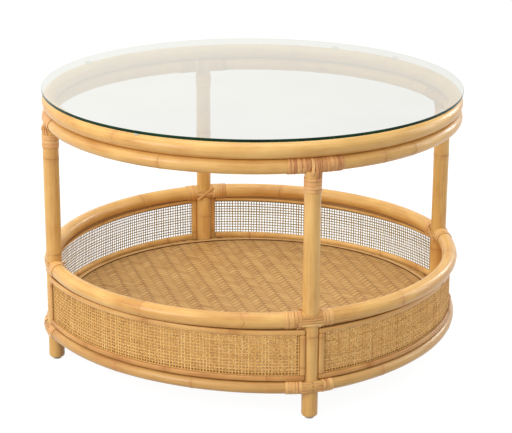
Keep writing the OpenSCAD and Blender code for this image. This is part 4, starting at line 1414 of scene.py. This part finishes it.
def wood(name, scale, warp, cloud_scale, grain_part, cloud_part, colours, rough, strength,
         plies=False):
    sh = new_material(name)
    coords = sh.object_coords()
    grain = sh.noise(coords, scale=scale, detail=5.0, rough=0.6, warp=warp)
    cloud = sh.noise(coords, scale=cloud_scale, shift=(4, 0, 0))
    tone = sh.blend(grain, grain_part, cloud, cloud_part)
    colour = sh.ramp(tone, (0.3, 0.5, 0.7), colours)
    if plies:
        # dark layers, thin in height
        ply = sh.noise(coords, scale=(2, 2, 700), detail=1.0, rough=0.4)
        ply = sh.remap(ply, span=(0.45, 0.6), to=(0.0, 0.25))
        colour = sh.mix(ply, colour, (140, 94, 54))
    return sh.principled(colour, sh.remap(grain, span=(0.3, 0.7), to=rough),
                         sh.bump(grain, strength=strength, distance=0.0004), {})


def pad_material():
    sh = new_material("clear_pad_plastic")
    fine = sh.noise(sh.object_coords(), scale=(300, 300, 300))
    colour = sh.ramp(fine, (0.3, 0.7), [(206, 214, 208), (236, 240, 236)])
    return sh.principled(colour, sh.remap(fine, span=(0.3, 0.7), to=(0.12, 0.28)),
                         sh.bump(fine, strength=0.15, distance=0.0002),
                         {"IOR": 1.45, "Alpha": 0.55})


def give(name, material):
    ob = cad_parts[name]
    if not ob.material_slots:
        ob.data.materials.append(material)
    for slot in ob.material_slots:
        slot.link = "OBJECT"
        slot.material = material


steel = speckled("fastener_steel", fine_scale=700, cloud_scale=80,
                 colours=[(150, 148, 142), (198, 198, 196)], rough=(0.26, 0.46),
                 bump={"strength": 0.15, "distance": 0.0001}, more={"Metallic": 1.0})
plywood = wood("shelf_plywood", scale=(14, 220, 60), warp=0.6, cloud_scale=(5, 9, 5),
               grain_part=0.6, cloud_part=0.4,
               colours=[(158, 112, 66), (190, 146, 94), (212, 172, 118)],
               rough=(0.5, 0.7), strength=0.3, plies=True)
batten = wood("batten_wood", scale=(160, 9, 160), warp=0.5, cloud_scale=(6, 3, 6),
              grain_part=0.65, cloud_part=0.35,
              colours=[(166, 116, 66), (198, 150, 94), (218, 176, 120)],
              rough=(0.48, 0.68), strength=0.35)
give("glass_pads", pad_material())
give("shelf_board", plywood)
give("shelf_battens", batten)
give("batten_dowels", batten)
give("foot_glides", speckled(
    "glide_plastic", fine_scale=420, cloud_scale=60,
    colours=[(150, 148, 140), (188, 187, 180)], rough=(0.3, 0.5),
    bump={"strength": 0.25, "distance": 0.0002}, more={"Subsurface Weight": 0.1, "IOR": 1.5}))
for name in ("glide_nails", "hoop_screws", "leg_top_screws", "rim_joint_pins",
             "base_joint_pins", "trim_brads", "shelf_screws"):
    give(name, steel)


# ------------------------------------------------------------------ studio (metres from here on)
def floor_material():
    """White to the lens, but throws back only part of its light on the table."""
    sh = new_material("studio_floor_paper")
    cloud = sh.noise(sh.object_coords(), scale=(3, 3, 3), detail=2.0)
    rays = sh.node("LightPath").outputs
    seen = sh.math("MAXIMUM", rays["Is Camera Ray"], rays["Is Glossy Ray"])
    colour = sh.mix(seen, sh.ramp(cloud, (0.2, 0.8), [(170, 169, 168), (176, 175, 174)]),
                    sh.ramp(cloud, (0.2, 0.8), [(106, 106, 106), (110, 110, 110)]))
    paper = sh.node("BsdfDiffuse", {"Color": colour})
    glow = sh.node("Emission", {"Color": (1, 1, 1, 1),
                                "Strength": sh.math("MULTIPLY", seen, 0.945)})
    both = sh.node("AddShader", {0: paper.outputs[0], 1: glow.outputs[0]})
    return sh.surface(both.outputs[0])


def stage_floor():
    count = 48
    radii = [0.5, 1.0, 2.0, 6.0, 30.0, 120.0]
    points = [(0, 0, 0)]
    for radius in radii:
        for i in range(count):
            angle = 2 * PI * i / count
            points.append((radius * math.cos(angle), radius * math.sin(angle), 0.0))
    faces = [(0, 1 + i, 1 + (i + 1) % count) for i in range(count)]
    for j in range(len(radii) - 1):
        inner, outer = 1 + j * count, 1 + (j + 1) * count
        for i in range(count):
            after = (i + 1) % count
            faces.append((inner + i, outer + i, outer + after, inner + after))
    mesh = bpy.data.meshes.new("floor")
    mesh.from_pydata(points, [], faces)
    ob = link_object("studio_floor", mesh)
    mesh.materials.append(floor_material())
    ob.location.z = -0.0005


def build_world(scene):
    """White to the camera, a soft tent to diffuse rays and a near-white veil to the rest."""
    world = bpy.data.worlds.new("studio_world")
    scene.world = world
    sh = Shader(world, "OutputWorld")
    direction = sh.node("TexCoord").outputs["Generated"]

    def glow(towards, span, to):
        """A smooth change of strength with the direction of the ray."""
        dot = sh.node("VectorMath", {0: direction, 1: Vector(towards).normalized()},
                      operation="DOT_PRODUCT").outputs["Value"]
        return sh.remap(dot, span, to, interpolation_type="SMOOTHSTEP")

    def background(colour, strength):
        return sh.node("Background", {"Color": colour, "Strength": strength}).outputs[0]

    # the tent is brightest overhead and on the left (-X)
    side = glow((-0.93, 0.10, 0.15), span=(-1.0, 1.0), to=(0.50, 1.10))
    over = glow((0.0, 0.0, 1.0), span=(-0.2, 1.0), to=(0.42, 1.32))
    tent = background((1.0, 0.995, 0.985, 1), sh.math("MULTIPLY", side, over))
    veil = background((1.0, 1.0, 0.995, 1),
                      glow((1.0, 0.0, 0.0), span=(0.10, 0.42), to=(1.02, 0.95)))
    white = background((1, 1, 1, 1), 1.0)
    rays = sh.node("LightPath").outputs
    lit = sh.mix_shader(rays["Is Diffuse Ray"], veil, tent)
    sh.surface(sh.mix_shader(rays["Is Camera Ray"], lit, white))


def area(name, place, target, size, size_y, energy, color=(1, 1, 1), shine_only=False):
    light = bpy.data.lights.new(name, "AREA")
    light.shape = "RECTANGLE"
    light.size = size
    light.size_y = size_y
    light.energy = energy
    light.color = color
    ob = link_object(name, light)
    ob.visible_diffuse = not shine_only
    ob.location = place
    aim = Vector(target) - Vector(place)
    ob.rotation_euler = aim.to_track_quat("-Z", "Y").to_euler()


def add_camera(scene):
    """A long lens a little above the table, in front and to the left."""
    data = bpy.data.cameras.new("camera")
    camera = link_object("camera", data)
    forward = Vector((0.25682, 0.91544, -0.30992)).normalized()
    right = Vector((0.96284, -0.27010, 0.0)).normalized()
    up = right.cross(forward).normalized()
    roll = math.radians(0.322)
    rolled_right = right * math.cos(roll) + up * math.sin(roll)
    rolled_up = up * math.cos(roll) - right * math.sin(roll)
    turn = Matrix((rolled_right, rolled_up, -forward)).transposed()
    place = Vector((-0.8282, -2.9798, 1.2477))
    camera.matrix_world = Matrix.Translation(place) @ turn.to_4x4()
    data.sensor_width = 36.0
    data.lens = 125.07
    data.clip_start, data.clip_end = 0.05, 300
    scene.camera = camera


scene = bpy.context.scene
stage_floor()
build_world(scene)
area("key_soft", (-2.85, -1.45, 1.6), target=(0, 0, 0.25), size=1.5, size_y=1.5, energy=46.5,
     color=(1.0, 0.985, 0.96))
area("right_strip", (2.2, -0.2, 1.1), target=(0, 0, 0.3), size=0.35, size_y=1.6, energy=10.0)
area("window_back", (2.85, 1.35, 1.3), target=(0, 0, 0.3), size=0.5, size_y=0.9, energy=20,
     shine_only=True)
area("top_soft", (-0.2, 0.0, 2.6), target=(0, 0, 0.3), size=1.8, size_y=1.8, energy=24)
add_camera(scene)

scene.view_settings.view_transform = "Standard"
scene.view_settings.look = "None"
scene.view_settings.exposure = 0.0
scene.view_settings.gamma = 1.0
scene.cycles.transparent_max_bounces = 24
scene.cycles.max_bounces = 8
scene.cycles.diffuse_bounces = 4
scene.cycles.glossy_bounces = 4
scene.cycles.use_denoising = True
